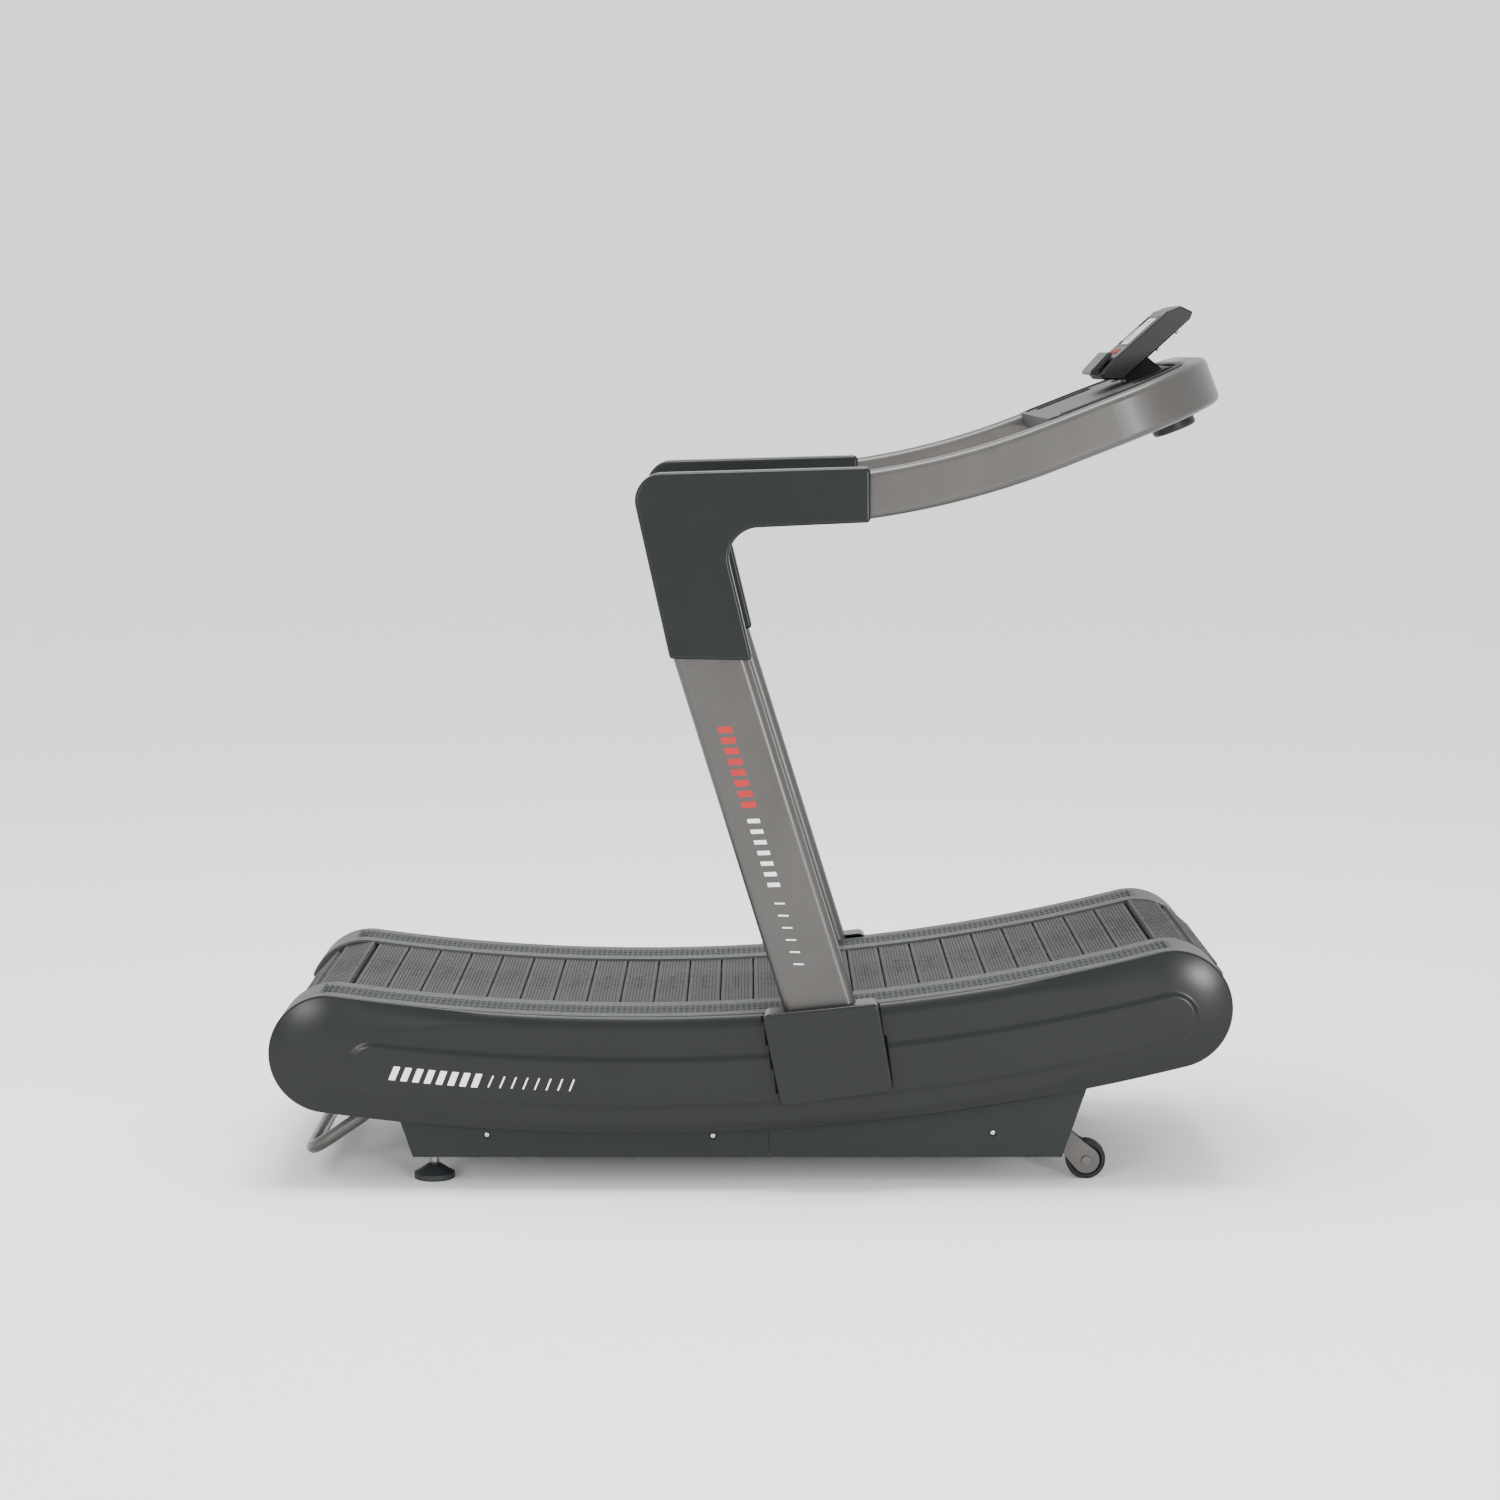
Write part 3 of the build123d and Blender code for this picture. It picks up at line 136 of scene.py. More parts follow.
def linear(code):
    """A colour written as six hex digits, as the shader wants it."""
    def channel(pair):
        c = int(pair, 16) / 255
        return c / 12.92 if c <= 0.04045 else ((c + 0.055) / 1.055) ** 2.4
    return tuple(channel(code[i:i + 2]) for i in (0, 2, 4)) + (1.0,)


# Finishes

class Weave:
    """A small helper that adds nodes to one finish and links them."""

    def __init__(self, name):
        self.material = bpy.data.materials.new(name)
        self.material.use_nodes = True
        self.tree = self.material.node_tree
        self.shader = self.tree.nodes["Principled BSDF"]
        self.place = self.add("ShaderNodeTexCoord").outputs["Object"]

    def add(self, kind, links=None, **values):
        node = self.tree.nodes.new(kind)
        for key, value in values.items():
            if key in ("operation", "data_type"):
                setattr(node, key, value)
            else:
                node.inputs[key.replace("_", " ")].default_value = value
        for key, source in (links or {}).items():
            self.tree.links.new(source, node.inputs[key])
        return node

    def noise(self, scale, detail=2.0, rough=0.5, stretch=None):
        place = self.place
        if stretch:
            place = self.add("ShaderNodeMapping", {"Vector": place}, Scale=stretch).outputs[0]
        node = self.add("ShaderNodeTexNoise", {"Vector": place}, Scale=scale, Detail=detail,
                        Roughness=rough)
        return node.outputs["Fac"]

    def spread(self, source, low, high, start=0.3, end=0.7):
        node = self.add("ShaderNodeMapRange", {"Value": source})
        for key, value in (("From Min", start), ("From Max", end), ("To Min", low), ("To Max", high)):
            node.inputs[key].default_value = value
        return node.outputs[0]

    def blend(self, factor, first, second):
        node = self.add("ShaderNodeMix", data_type="RGBA")
        self.tree.links.new(factor, node.inputs["Factor"])
        for socket, colour in ((node.inputs[6], first), (node.inputs[7], second)):
            if isinstance(colour, tuple):
                socket.default_value = colour
            else:
                self.tree.links.new(colour, socket)
        return node.outputs[2]

    def connect(self, source, socket):
        self.tree.links.new(source, self.shader.inputs[socket])

    def bump(self, height, distance, strength=1.0, below=None):
        node = self.add("ShaderNodeBump", {"Height": height}, Strength=strength, Distance=distance)
        if below is not None:
            self.tree.links.new(below, node.inputs["Normal"])
        return node.outputs[0]


def moulded(name, base, rough, grain=900.0, depth=0.00004, mottle=0.10, scale=7.0, metallic=0.0,
            level=0.5):
    """Moulded plastic, rubber or paint: colour patches, a fine grain and a roughness that wanders."""
    weave = Weave(name)
    light, dark = shade(base, 1 + mottle), shade(base, 1 - mottle)
    patches = weave.noise(scale, 4.0, 0.6)
    weave.connect(weave.blend(weave.spread(patches, 0.0, 1.0), dark, light), "Base Color")
    wander = weave.noise(scale * 2, 1.0)
    weave.connect(weave.spread(wander, rough - 0.02, rough + 0.02, 0.1, 0.9), "Roughness")
    weave.connect(weave.bump(weave.noise(grain, 2.0), depth), "Normal")
    weave.shader.inputs["Metallic"].default_value = metallic
    weave.shader.inputs["Specular IOR Level"].default_value = level
    return weave.material


def flaked_paint(name, base, rough, metallic=0.55):
    """Silver paint: soft clouds, fine bright flakes and a light orange peel, under a thin lacquer."""
    weave = Weave(name)
    light, dark = shade(base, 1.12), shade(base, 0.90)
    clouds = weave.noise(9.0, 5.0, 0.65, (1.0, 1.0, 0.6))
    colour = weave.blend(weave.spread(clouds, 0.0, 1.0), dark, light)
    flakes = weave.add("ShaderNodeTexVoronoi", {"Vector": weave.place}, Scale=1400.0)
    sparkle = weave.spread(flakes.outputs["Distance"], 0.0, 0.35, 0.1, 0.6)
    weave.connect(weave.blend(sparkle, colour, light), "Base Color")
    weave.connect(weave.spread(clouds, rough - 0.05, rough + 0.06), "Roughness")
    peel = weave.bump(weave.noise(260.0, 2.0), 0.00003)
    weave.connect(weave.bump(flakes.outputs["Distance"], 0.00001, 0.5, peel), "Normal")
    weave.shader.inputs["Metallic"].default_value = metallic
    weave.shader.inputs["Coat Weight"].default_value = 0.15
    weave.shader.inputs["Coat Roughness"].default_value = 0.2
    return weave.material


def turned_metal(name, base, rough, stretch=(1.0, 30.0, 1.0)):
    """Bare metal with fine tool marks."""
    weave = Weave(name)
    marks = weave.noise(160.0, 3.0, 0.6, stretch)
    weave.connect(weave.blend(weave.spread(marks, 0.0, 1.0), shade(base, 0.8), base), "Base Color")
    weave.connect(weave.spread(marks, rough - 0.07, rough + 0.1), "Roughness")
    weave.connect(weave.bump(marks, 0.00004, 0.5), "Normal")
    weave.shader.inputs["Metallic"].default_value = 1.0
    return weave.material


def tread_finish(name, base):
    """Moulded tread rubber, a little darker and scuffed along the middle where feet land."""
    weave = Weave(name)
    split = weave.add("ShaderNodeSeparateXYZ", {"Vector": weave.place})
    across = weave.add("ShaderNodeMath", {0: split.outputs["Y"]}, operation="ABSOLUTE").outputs[0]
    middle = weave.spread(across, 1.0, 0.0, 0.03, 0.12)
    scuffs = weave.spread(weave.noise(55.0, 5.0, 0.7), 0.0, 1.0, 0.35, 0.65)
    worn = weave.add("ShaderNodeMath", {0: middle, 1: scuffs}, operation="MULTIPLY").outputs[0]
    patches = weave.spread(weave.noise(14.0, 4.0, 0.6), 0.0, 1.0)
    body = weave.blend(patches, shade(base, 0.92), shade(base, 1.08))
    weave.connect(weave.blend(worn, body, shade(base, 0.72)), "Base Color")
    weave.connect(weave.spread(scuffs, 0.62, 0.78, 0.0, 1.0), "Roughness")
    weave.connect(weave.bump(weave.noise(1300.0, 3.0), 0.00006), "Normal")
    weave.shader.inputs["Specular IOR Level"].default_value = 0.2
    return weave.material


def rail_finish(name, base):
    """Foot rail plastic: its gripping band is darker than the smooth lips on both sides of it."""
    weave = Weave(name)
    split = weave.add("ShaderNodeSeparateXYZ", {"Vector": weave.place})
    across = weave.add("ShaderNodeMath", {0: split.outputs["Y"]}, operation="ABSOLUTE").outputs[0]
    band = weave.spread(across, 0.0, 1.0, BAND_Y[0], BAND_Y[0] + BAND_EDGE)
    outer = weave.spread(across, 1.0, 0.0, BAND_Y[1] - BAND_EDGE, BAND_Y[1])
    behind = weave.spread(split.outputs["X"], 0.0, 1.0, BAND_X[0], BAND_X[0] + BAND_EDGE)
    ahead = weave.spread(split.outputs["X"], 1.0, 0.0, BAND_X[1] - BAND_EDGE, BAND_X[1])
    for edge in (outer, behind, ahead):
        band = weave.add("ShaderNodeMath", {0: band, 1: edge}, operation="MULTIPLY").outputs[0]
    patches = weave.spread(weave.noise(12.0, 4.0, 0.6), 0.0, 1.0)
    body = weave.blend(patches, shade(base, 0.95), shade(base, 1.05))
    weave.connect(weave.blend(band, body, shade(base, 0.38)), "Base Color")
    weave.connect(weave.spread(weave.noise(60.0, 3.0), 0.46, 0.56), "Roughness")
    weave.connect(weave.bump(weave.noise(700.0, 2.0), 0.00006), "Normal")
    weave.shader.inputs["Specular IOR Level"].default_value = 0.25
    return weave.material


def base_finish(name, dark, silver):
    """Black paint on the hidden base, with the wheel forks at its front end in silver."""
    weave = Weave(name)
    split = weave.add("ShaderNodeSeparateXYZ", {"Vector": weave.place})
    front = weave.spread(split.outputs["X"], 0.0, 1.0, WHEEL_FORK_X, WHEEL_FORK_X + 0.5 * MM)
    patches = weave.spread(weave.noise(9.0, 4.0, 0.6), 0.0, 1.0)
    black = weave.blend(patches, shade(dark, 0.9), shade(dark, 1.1))
    bright = weave.blend(patches, shade(silver, 1.15), shade(silver, 1.35))
    weave.connect(weave.blend(front, black, bright), "Base Color")
    weave.connect(weave.spread(front, 0.0, 0.45, 0.0, 1.0), "Metallic")
    weave.connect(weave.spread(patches, 0.38, 0.48, 0.0, 1.0), "Roughness")
    weave.connect(weave.bump(weave.noise(400.0, 2.0), 0.00004), "Normal")
    return weave.material


def foot_finish(name, rubber, steel):
    """Levelling foot: black rubber up to the neck of the pad, zinc-plated steel above it."""
    weave = Weave(name)
    split = weave.add("ShaderNodeSeparateXYZ", {"Vector": weave.place})
    stud = weave.spread(split.outputs["Z"], 0.0, 1.0, FOOT_NECK_Z, FOOT_NECK_Z + 0.5 * MM)
    patches = weave.spread(weave.noise(60.0, 4.0, 0.6), 0.0, 1.0)
    pad = weave.blend(patches, shade(rubber, 0.85), shade(rubber, 1.15))
    weave.connect(weave.blend(stud, pad, weave.blend(patches, shade(steel, 0.8), steel)), "Base Color")
    weave.connect(weave.spread(stud, 0.0, 1.0, 0.0, 1.0), "Metallic")
    weave.connect(weave.spread(stud, 0.6, 0.35, 0.0, 1.0), "Roughness")
    weave.connect(weave.bump(weave.noise(700.0, 2.0), 0.00005), "Normal")
    return weave.material


def glass_finish(name, clean, dusty):
    """Dark display glass with a thin film of dust."""
    weave = Weave(name)
    dust = weave.noise(40.0, 4.0, 0.7)
    weave.connect(weave.blend(weave.spread(dust, 0.0, 1.0), clean, dusty), "Base Color")
    weave.connect(weave.spread(dust, 0.06, 0.14), "Roughness")
    weave.shader.inputs["Coat Weight"].default_value = 1.0
    weave.shader.inputs["Coat Roughness"].default_value = 0.05
    return weave.material


FINISHES = {}
OWN_FINISH = {                                 # nodes whose finish isn't the one their slot names
    "left_skirt": "skirt_plastic", "right_skirt": "skirt_plastic", "frame_bolts": "bolt_steel",
    "left_foot": "foot_and_stud", "right_foot": "foot_and_stud",
}


def make_finishes(colours):
    """Makes every finish under its name."""
    black_rubber = linear("1b2022")
    # plain moulded finishes: colour, roughness, grain, its depth, mottle, its scale, specular level
    plain = {
        "cover_plastic": (colours.cover, 0.29, 1100.0, 0.00002, 0.05, 7.0, 0.27),
        "skirt_plastic": (linear("1c2020"), 0.46, 1100.0, 0.00003, 0.05, 7.0, 0.2),
        "grip_plastic": (linear("131717"), 0.30, 1000.0, 0.00002, 0.05, 7.0, 0.25),
        "rail_pattern": (linear("353938"), 0.6, 700.0, 0.00005, 0.10, 20.0, 0.15),
        "belt_rubber": (linear("1c1e1f"), 0.7, 500.0, 0.0001, 0.15, 30.0, 0.5),
        "wheel_rubber": (black_rubber, 0.6, 600.0, 0.00008, 0.12, 30.0, 0.2),
        "foot_rubber": (black_rubber, 0.6, 500.0, 0.00008, 0.12, 30.0, 0.2),
        "tray_plastic": (linear("333735"), 0.48, 800.0, 0.00005, 0.06, 12.0, 0.25),
        "cup_plastic": (linear("151819"), 0.45, 800.0, 0.00005, 0.08, 12.0, 0.25),
        "console_plastic": (linear("101313"), 0.40, 900.0, 0.00004, 0.06, 14.0, 0.3),
        "board": (linear("1f5a38"), 0.5, 300.0, 0.00005, 0.15, 40.0, 0.5),
        "key_rubber": (linear("8b2a22"), 0.55, 700.0, 0.00005, 0.06, 60.0, 0.5),
        "white_vinyl": (linear("e6e7e4"), 0.35, 900.0, 0.00001, 0.03, 30.0, 0.5),
        "red_vinyl": (linear("a20005"), 0.35, 900.0, 0.00001, 0.05, 30.0, 0.5),
        "display_ink": (linear("9fb7b0"), 0.4, 900.0, 0.00001, 0.05, 60.0, 0.5),
    }
    for name, (colour, rough, grain, depth, mottle, scale, level) in plain.items():
        FINISHES[name] = moulded(name, colour, rough, grain, depth, mottle, scale, level=level)
    lengthways = (20.0, 1.0, 20.0)
    FINISHES.update({
        "cast_pulley": moulded("cast_pulley", linear("6a6e70"), 0.5, 300.0, 0.0001, 0.12, 20.0, 0.8),
        "foot_rail_plastic": rail_finish("foot_rail_plastic", colours.rail),
        "silver_paint": flaked_paint("silver_paint", colours.silver, 0.38),
        "frame_paint": base_finish("frame_paint", linear("171a1b"), colours.silver),
        "tread_rubber": tread_finish("tread_rubber", colours.tread),
        "slat_aluminium": turned_metal("slat_aluminium", linear("8f9291"), 0.38),
        "bright_steel": turned_metal("bright_steel", linear("b9bab8"), 0.24, lengthways),
        "bolt_steel": turned_metal("bolt_steel", linear("63615f"), 0.42, lengthways),
        "foot_and_stud": foot_finish("foot_and_stud", black_rubber, linear("8c8b89")),
        "screen_glass": glass_finish("screen_glass", linear("0b0f11"), linear("12181a")),
    })


# Meshes

def piece(name, mesh, finish, body, cad=(), soft=True):
    """Puts a finished mesh in the scene, gives it a finish and lets it ride on a body."""
    obj = bpy.data.objects.new(name, mesh)
    bpy.context.scene.collection.objects.link(obj)
    mesh.materials.clear()
    mesh.materials.append(FINISHES[finish])
    if soft:
        mesh.shade_smooth()
    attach(obj, body)
    if cad:
        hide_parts(*cad)
    return obj


def mesh_of(name, build):
    """A mesh from a function that fills a bmesh, with doubles merged and faces turned outwards."""
    bm = bmesh.new()
    build(bm)
    bmesh.ops.remove_doubles(bm, verts=bm.verts, dist=1e-6)
    bmesh.ops.recalc_face_normals(bm, faces=bm.faces)
    mesh = bpy.data.meshes.new(name)
    bm.to_mesh(mesh)
    bm.free()
    return mesh


def prism(bm, outline, low, high, axis="Y"):
    """A straight solid from a closed outline: (x, z) points between two y, or (x, y) between two z."""
    def at(p, level):
        return (p[0], level, p[1]) if axis == "Y" else (p[0], p[1], level)
    rings = [[bm.verts.new(at(p, level)) for p in outline] for level in (low, high)]
    count = len(outline)
    for i in range(count):
        j = (i + 1) % count
        bm.faces.new((rings[0][i], rings[0][j], rings[1][j], rings[1][i]))
    bm.faces.new(rings[0])
    bm.faces.new(rings[1])


def rounded(points, radius, steps=5):
    """A closed outline with every corner rounded."""
    result = []
    count = len(points)
    for i in range(count):
        here, before, after = (Vector(points[k % count]) for k in (i, i - 1, i + 1))
        a, b = (before - here).normalized(), (after - here).normalized()
        half = a.angle(b) / 2
        reach = radius / math.tan(half)
        centre = here + (a + b).normalized() * radius / math.sin(half)
        start, end = here + a * reach, here + b * reach
        first, last = start - centre, end - centre
        turn = first.angle_signed(last)
        for k in range(steps + 1):
            result.append(tuple(centre + Matrix.Rotation(-turn * k / steps, 2) @ first))
    return result


def evaluated_mesh(obj, name):
    """The plain mesh of an object with its modifiers, which are then gone with the object."""
    graph = bpy.context.evaluated_depsgraph_get()
    graph.update()
    mesh = bpy.data.meshes.new_from_object(obj.evaluated_get(graph), preserve_all_data_layers=False,
                                           depsgraph=graph)
    mesh.name = name
    bpy.data.objects.remove(obj)
    return mesh


def rectangle(half_x, half_y, radius, steps=5):
    """The outline of a rectangle about the origin, with rounded corners."""
    corners = [(-half_x, -half_y), (half_x, -half_y), (half_x, half_y), (-half_x, half_y)]
    return rounded(corners, radius, steps)


def band(bm, outer, inner, bottom, top):
    """A closed flat frame between two outlines of as many points, and between two z."""
    rings = [[bm.verts.new((p[0], p[1], level)) for p in ring] for ring in (outer, inner)
             for level in (bottom, top)]
    for a, b in ((0, 1), (1, 3), (3, 2), (2, 0)):
        for i in range(len(outer)):
            j = (i + 1) % len(outer)
            bm.faces.new((rings[a][i], rings[a][j], rings[b][j], rings[b][i]))


# Geometry Nodes: copies of one piece along an arc

def arc_tree():
    """A node tree that repeats a piece along an arc in rows, and turns each copy with the arc."""
    tree = bpy.data.node_groups.new("copies_along_arc", "GeometryNodeTree")
    face = tree.interface
    face.new_socket("Geometry", in_out="INPUT", socket_type="NodeSocketGeometry")
    inputs = {"Piece": "Object", "Material": "Material", "Centre X": "Float", "Centre Z": "Float",
              "Radius": "Float", "First Turn": "Float", "Turn Step": "Float", "Columns": "Int",
              "Rows": "Int", "First Y": "Float", "Row Step": "Float", "Face Out": "Float"}
    for name, kind in inputs.items():
        face.new_socket(name, in_out="INPUT", socket_type=f"NodeSocket{kind}")
    face.new_socket("Geometry", in_out="OUTPUT", socket_type="NodeSocketGeometry")
    given = tree.nodes.new("NodeGroupInput").outputs

    def add(kind, links=None, **settings):
        node = tree.nodes.new(kind)
        for key, value in settings.items():
            setattr(node, key, value)
        for key, source in (links or {}).items():
            if isinstance(source, (int, float)):
                node.inputs[key].default_value = source
            else:
                tree.links.new(source, node.inputs[key])
        return node

    def maths(operation, *sources):
        return add("ShaderNodeMath", dict(enumerate(sources)), operation=operation).outputs[0]

    index = add("GeometryNodeInputIndex").outputs[0]
    column = maths("FLOOR", maths("DIVIDE", maths("ADD", index, 0.5), given["Rows"]))
    row = maths("SUBTRACT", index, maths("MULTIPLY", column, given["Rows"]))
    turn = maths("ADD", given["First Turn"], maths("MULTIPLY", column, given["Turn Step"]))
    x = maths("ADD", given["Centre X"], maths("MULTIPLY", given["Radius"], maths("SINE", turn)))
    z = maths("SUBTRACT", given["Centre Z"], maths("MULTIPLY", given["Radius"], maths("COSINE", turn)))
    y = maths("ADD", given["First Y"], maths("MULTIPLY", row, given["Row Step"]))
    place = add("ShaderNodeCombineXYZ", {0: x, 1: y, 2: z}).outputs[0]
    tilt = maths("SUBTRACT", maths("MULTIPLY", given["Face Out"], math.pi), turn)
    spin = add("ShaderNodeCombineXYZ", {0: 0.0, 1: tilt, 2: 0.0}).outputs[0]
    total = maths("MULTIPLY", given["Columns"], given["Rows"])
    points = add("GeometryNodePoints", {"Count": total, "Position": place}).outputs[0]
    source = add("GeometryNodeObjectInfo", {"Object": given["Piece"]}, transform_space="ORIGINAL")
    shape = source.outputs["Geometry"]
    copies = add("GeometryNodeInstanceOnPoints",
                 {"Points": points, "Instance": shape, "Rotation": spin}).outputs[0]
    real = add("GeometryNodeRealizeInstances", {"Geometry": copies}).outputs[0]
    done = add("GeometryNodeSetMaterial", {"Geometry": real, "Material": given["Material"]}).outputs[0]
    output = tree.nodes.new("NodeGroupOutput")
    tree.links.new(done, output.inputs[0])
    return tree


def along_arc(name, source_mesh, finish, centre, radius, first, step, columns, rows=1, first_y=0.0,
              row_step=0.0, face_out=0):
    """One plain mesh that holds copies of a piece, set in rows along an arc."""
    tree = bpy.data.node_groups.get("copies_along_arc") or arc_tree()
    source = bpy.data.objects.new(name + "_source", source_mesh)
    bpy.context.scene.collection.objects.link(source)
    carrier = bpy.data.objects.new(name + "_carrier", bpy.data.meshes.new(name + "_carrier"))
    bpy.context.scene.collection.objects.link(carrier)
    modifier = carrier.modifiers.new("copies", "NODES")
    modifier.node_group = tree
    sockets = {item.name: item.identifier for item in tree.interface.items_tree
               if item.in_out == "INPUT"}
    values = {
        "Piece": source, "Material": FINISHES[finish], "Centre X": centre[0], "Centre Z": centre[1],
        "Radius": radius, "First Turn": first, "Turn Step": step, "Columns": columns, "Rows": rows,
        "First Y": first_y, "Row Step": row_step, "Face Out": float(face_out),
    }
    for key, value in values.items():
        modifier[sockets[key]] = value
    mesh = evaluated_mesh(carrier, name)
    bpy.data.objects.remove(source)
    return mesh


# Treads

def tread_block(bm, sizes):
    """One rubber tread: ribs along the slat, chamfered long edges, and slanted bars in the middle."""
    half, low, high = sizes.tread_half_width, TREAD_FOOT, TREAD_TOP
    top = high - 0.35 * MM                     # the ribs' tops, just below the bars
    ribs, groove = sizes.tread_ribs, sizes.rib_depth
    step = (2 * half - 5 * MM) / ribs
    outline = [(-half, low), (-half, top - 1.2 * MM), (-half + 1.0 * MM, top)]
    x = -half + 2.5 * MM
    for index in range(ribs):
        if index:
            outline += [(x - 1.1 * MM, top), (x - 0.8 * MM, top - groove),
                        (x + 0.8 * MM, top - groove), (x + 1.1 * MM, top)]
        x += step
    outline += [(half - 1.0 * MM, top), (half, top - 1.2 * MM), (half, low)]
    prism(bm, outline, -TREAD_HALF_LENGTH, TREAD_HALF_LENGTH)
    reach, wide, slant = 6.5 * MM, 4 * MM, 4 * MM
    for index in range(-3, 4):
        y = index * 19 * MM
        bar = [(-reach, y - wide - slant), (reach, y - wide + slant), (reach, y + wide + slant),
               (-reach, y + wide - slant)]
        prism(bm, rounded(bar, 1.2 * MM, 2), top - groove - 0.1 * MM, high, "Z")


# Side cover

def panel_depth(x, z):
    """How far inside the raised panel's outline a point is, less than zero outside it."""
    dx, dz = x - RUN_CENTRE[0], RUN_CENTRE[1] - z
    turn = math.atan2(dx, dz)
    if PANEL_TURNS[0] < turn < PANEL_TURNS[1]:
        away = abs(math.hypot(dx, dz) - PANEL_MID_R)
    else:
        end_turn = PANEL_TURNS[0] if turn < PANEL_TURNS[0] else PANEL_TURNS[1]
        end = polar(RUN_CENTRE, PANEL_MID_R, end_turn)
        away = math.hypot(x - end[0], z - end[1])
    return PANEL_HALF - away


def cover_surface(bm, sizes, side):
    """Outer skin of a side cover: rings from the rim inwards, softly rounded over towards both ends."""
    straight, ends = 240, 64
    rear, front = COVER_TURNS
    stations = []                              # along the top, front end, bottom and rear end
    stations += [("top", rear + (front - rear) * i / straight) for i in range(straight)]
    stations += [("front", math.pi * i / ends) for i in range(ends)]
    stations += [("low", front + (rear - front) * i / straight) for i in range(straight)]
    stations += [("rear", math.pi * i / ends) for i in range(ends)]
    front_mid, rear_mid = (polar(RUN_CENTRE, COVER_MID_R, turn) for turn in (front, rear))

    def spot(station, inset):
        kind, value = station
        reach = COVER_HALF - inset
        if kind == "top":
            return polar(RUN_CENTRE, COVER_MID_R - reach, value)
        if kind == "low":
            return polar(RUN_CENTRE, COVER_MID_R + reach, value)
        if kind == "front":
            return polar(front_mid, reach, front + math.pi - value)
        return polar(rear_mid, reach, rear - value)

    def rounding(station):
        kind, value = station
        if kind in ("front", "rear"):
            return sizes.end_rounding
        near = min(value - rear, front - value) * COVER_MID_R
        share = smooth(1 - near / sizes.rounding_run)
        return sizes.side_rounding + (sizes.end_rounding - sizes.side_rounding) * share

    def on_rail(station):
        kind, value = station
        return kind == "top" or (kind == "front" and value < RAIL_WRAP) or (
            kind == "rear" and value > math.pi - RAIL_WRAP)

    drop = COVER_FACE_Y - COVER_RIM_Y
    near_rim = [0.0, 0.0004, 0.0012, 0.0025, 0.004]
    rows = near_rim + [0.006 + 0.002 * i for i in range(52)] + [COVER_HALF]
    rings = []
    wall = []
    for station in stations:
        x, z = spot(station, 0.0)
        inner_y = RAIL_EDGE_Y if on_rail(station) else COVER_INNER_Y
        wall.append(bm.verts.new((x, side * inner_y, z)))
    rings.append(wall)
    for inset in rows:
        ring = []
        for station in stations:
            x, z = spot(station, inset)
            width = rounding(station)
            left = max(1 - inset / width, 0.0)
            rim = max(1 - inset / sizes.rim_radius, 0.0)
            y = COVER_FACE_Y - (drop - sizes.rim_radius) * left * left
            y -= sizes.rim_radius * (1 - math.sqrt(1 - rim * rim))
            y += PANEL_LIFT * smooth(panel_depth(x, z) / sizes.panel_edge + 0.5)
            ring.append(bm.verts.new((x, side * y, z)))
        rings.append(ring)
    count = len(stations)
    for low, high in zip(rings, rings[1:]):
        for i in range(count):
            j = (i + 1) % count
            bm.faces.new((low[i], low[j], high[j], high[i]))


def cut_out(mesh, cutter_mesh, name):
    """The mesh with the cutter's space taken out."""
    obj = bpy.data.objects.new(name + "_cut", mesh)
    cutter = bpy.data.objects.new(name + "_cutter", cutter_mesh)
    for item in (obj, cutter):
        bpy.context.scene.collection.objects.link(item)
    modifier = obj.modifiers.new("cut", "BOOLEAN")
    modifier.operation, modifier.solver, modifier.object = "DIFFERENCE", "EXACT", cutter
    result = evaluated_mesh(obj, name)
    bpy.data.objects.remove(cutter)
    return result


# Property groups

class LooksSizes(PropertyGroup):
    tread_half_width: FloatProperty(
        name="Tread half width", description="Half the width of one tread", default=0.0298,
        unit="LENGTH")
    tread_ribs: IntProperty(
        name="Ribs", description="Ribs on one tread", default=9, min=3)
    rib_depth: FloatProperty(
        name="Rib depth", description="Depth of the grooves between ribs", default=0.0015,
        unit="LENGTH")
    rim_radius: FloatProperty(
        name="Rim radius", description="Small radius at the cover's very edge", default=0.0025,
        unit="LENGTH")
    end_rounding: FloatProperty(
        name="End rounding", description="Width of the soft rounding at the cover's ends",
        default=0.085, unit="LENGTH")
    side_rounding: FloatProperty(
        name="Side rounding", description="Width of the rounding along the cover's edges",
        default=0.024, unit="LENGTH")
    rounding_run: FloatProperty(
        name="Rounding run", description="Length over which one rounding becomes the other",
        default=0.30, unit="LENGTH")
    panel_edge: FloatProperty(
        name="Panel edge", description="Width of the raised panel's soft edge", default=0.011,
        unit="LENGTH")


class LooksColours(PropertyGroup):
    cover: FloatVectorProperty(
        name="Side covers", description="Colour of the side covers and boots", size=3,
        default=linear("111414")[:3], subtype="COLOR")
    rail: FloatVectorProperty(
        name="Foot rails", description="Colour of the foot rails' smooth lips", size=3,
        default=linear("424644")[:3], subtype="COLOR")
    silver: FloatVectorProperty(
        name="Silver paint", description="Colour of the uprights and the handrail", size=3,
        default=linear("474543")[:3], subtype="COLOR")
    tread: FloatVectorProperty(
        name="Treads", description="Colour of the rubber treads", size=3,
        default=linear("424242")[:3], subtype="COLOR")
    backdrop: FloatVectorProperty(
        name="Backdrop", description="Colour of the floor", size=3, default=(1.0, 1.0, 1.0),
        subtype="COLOR")


# Operators

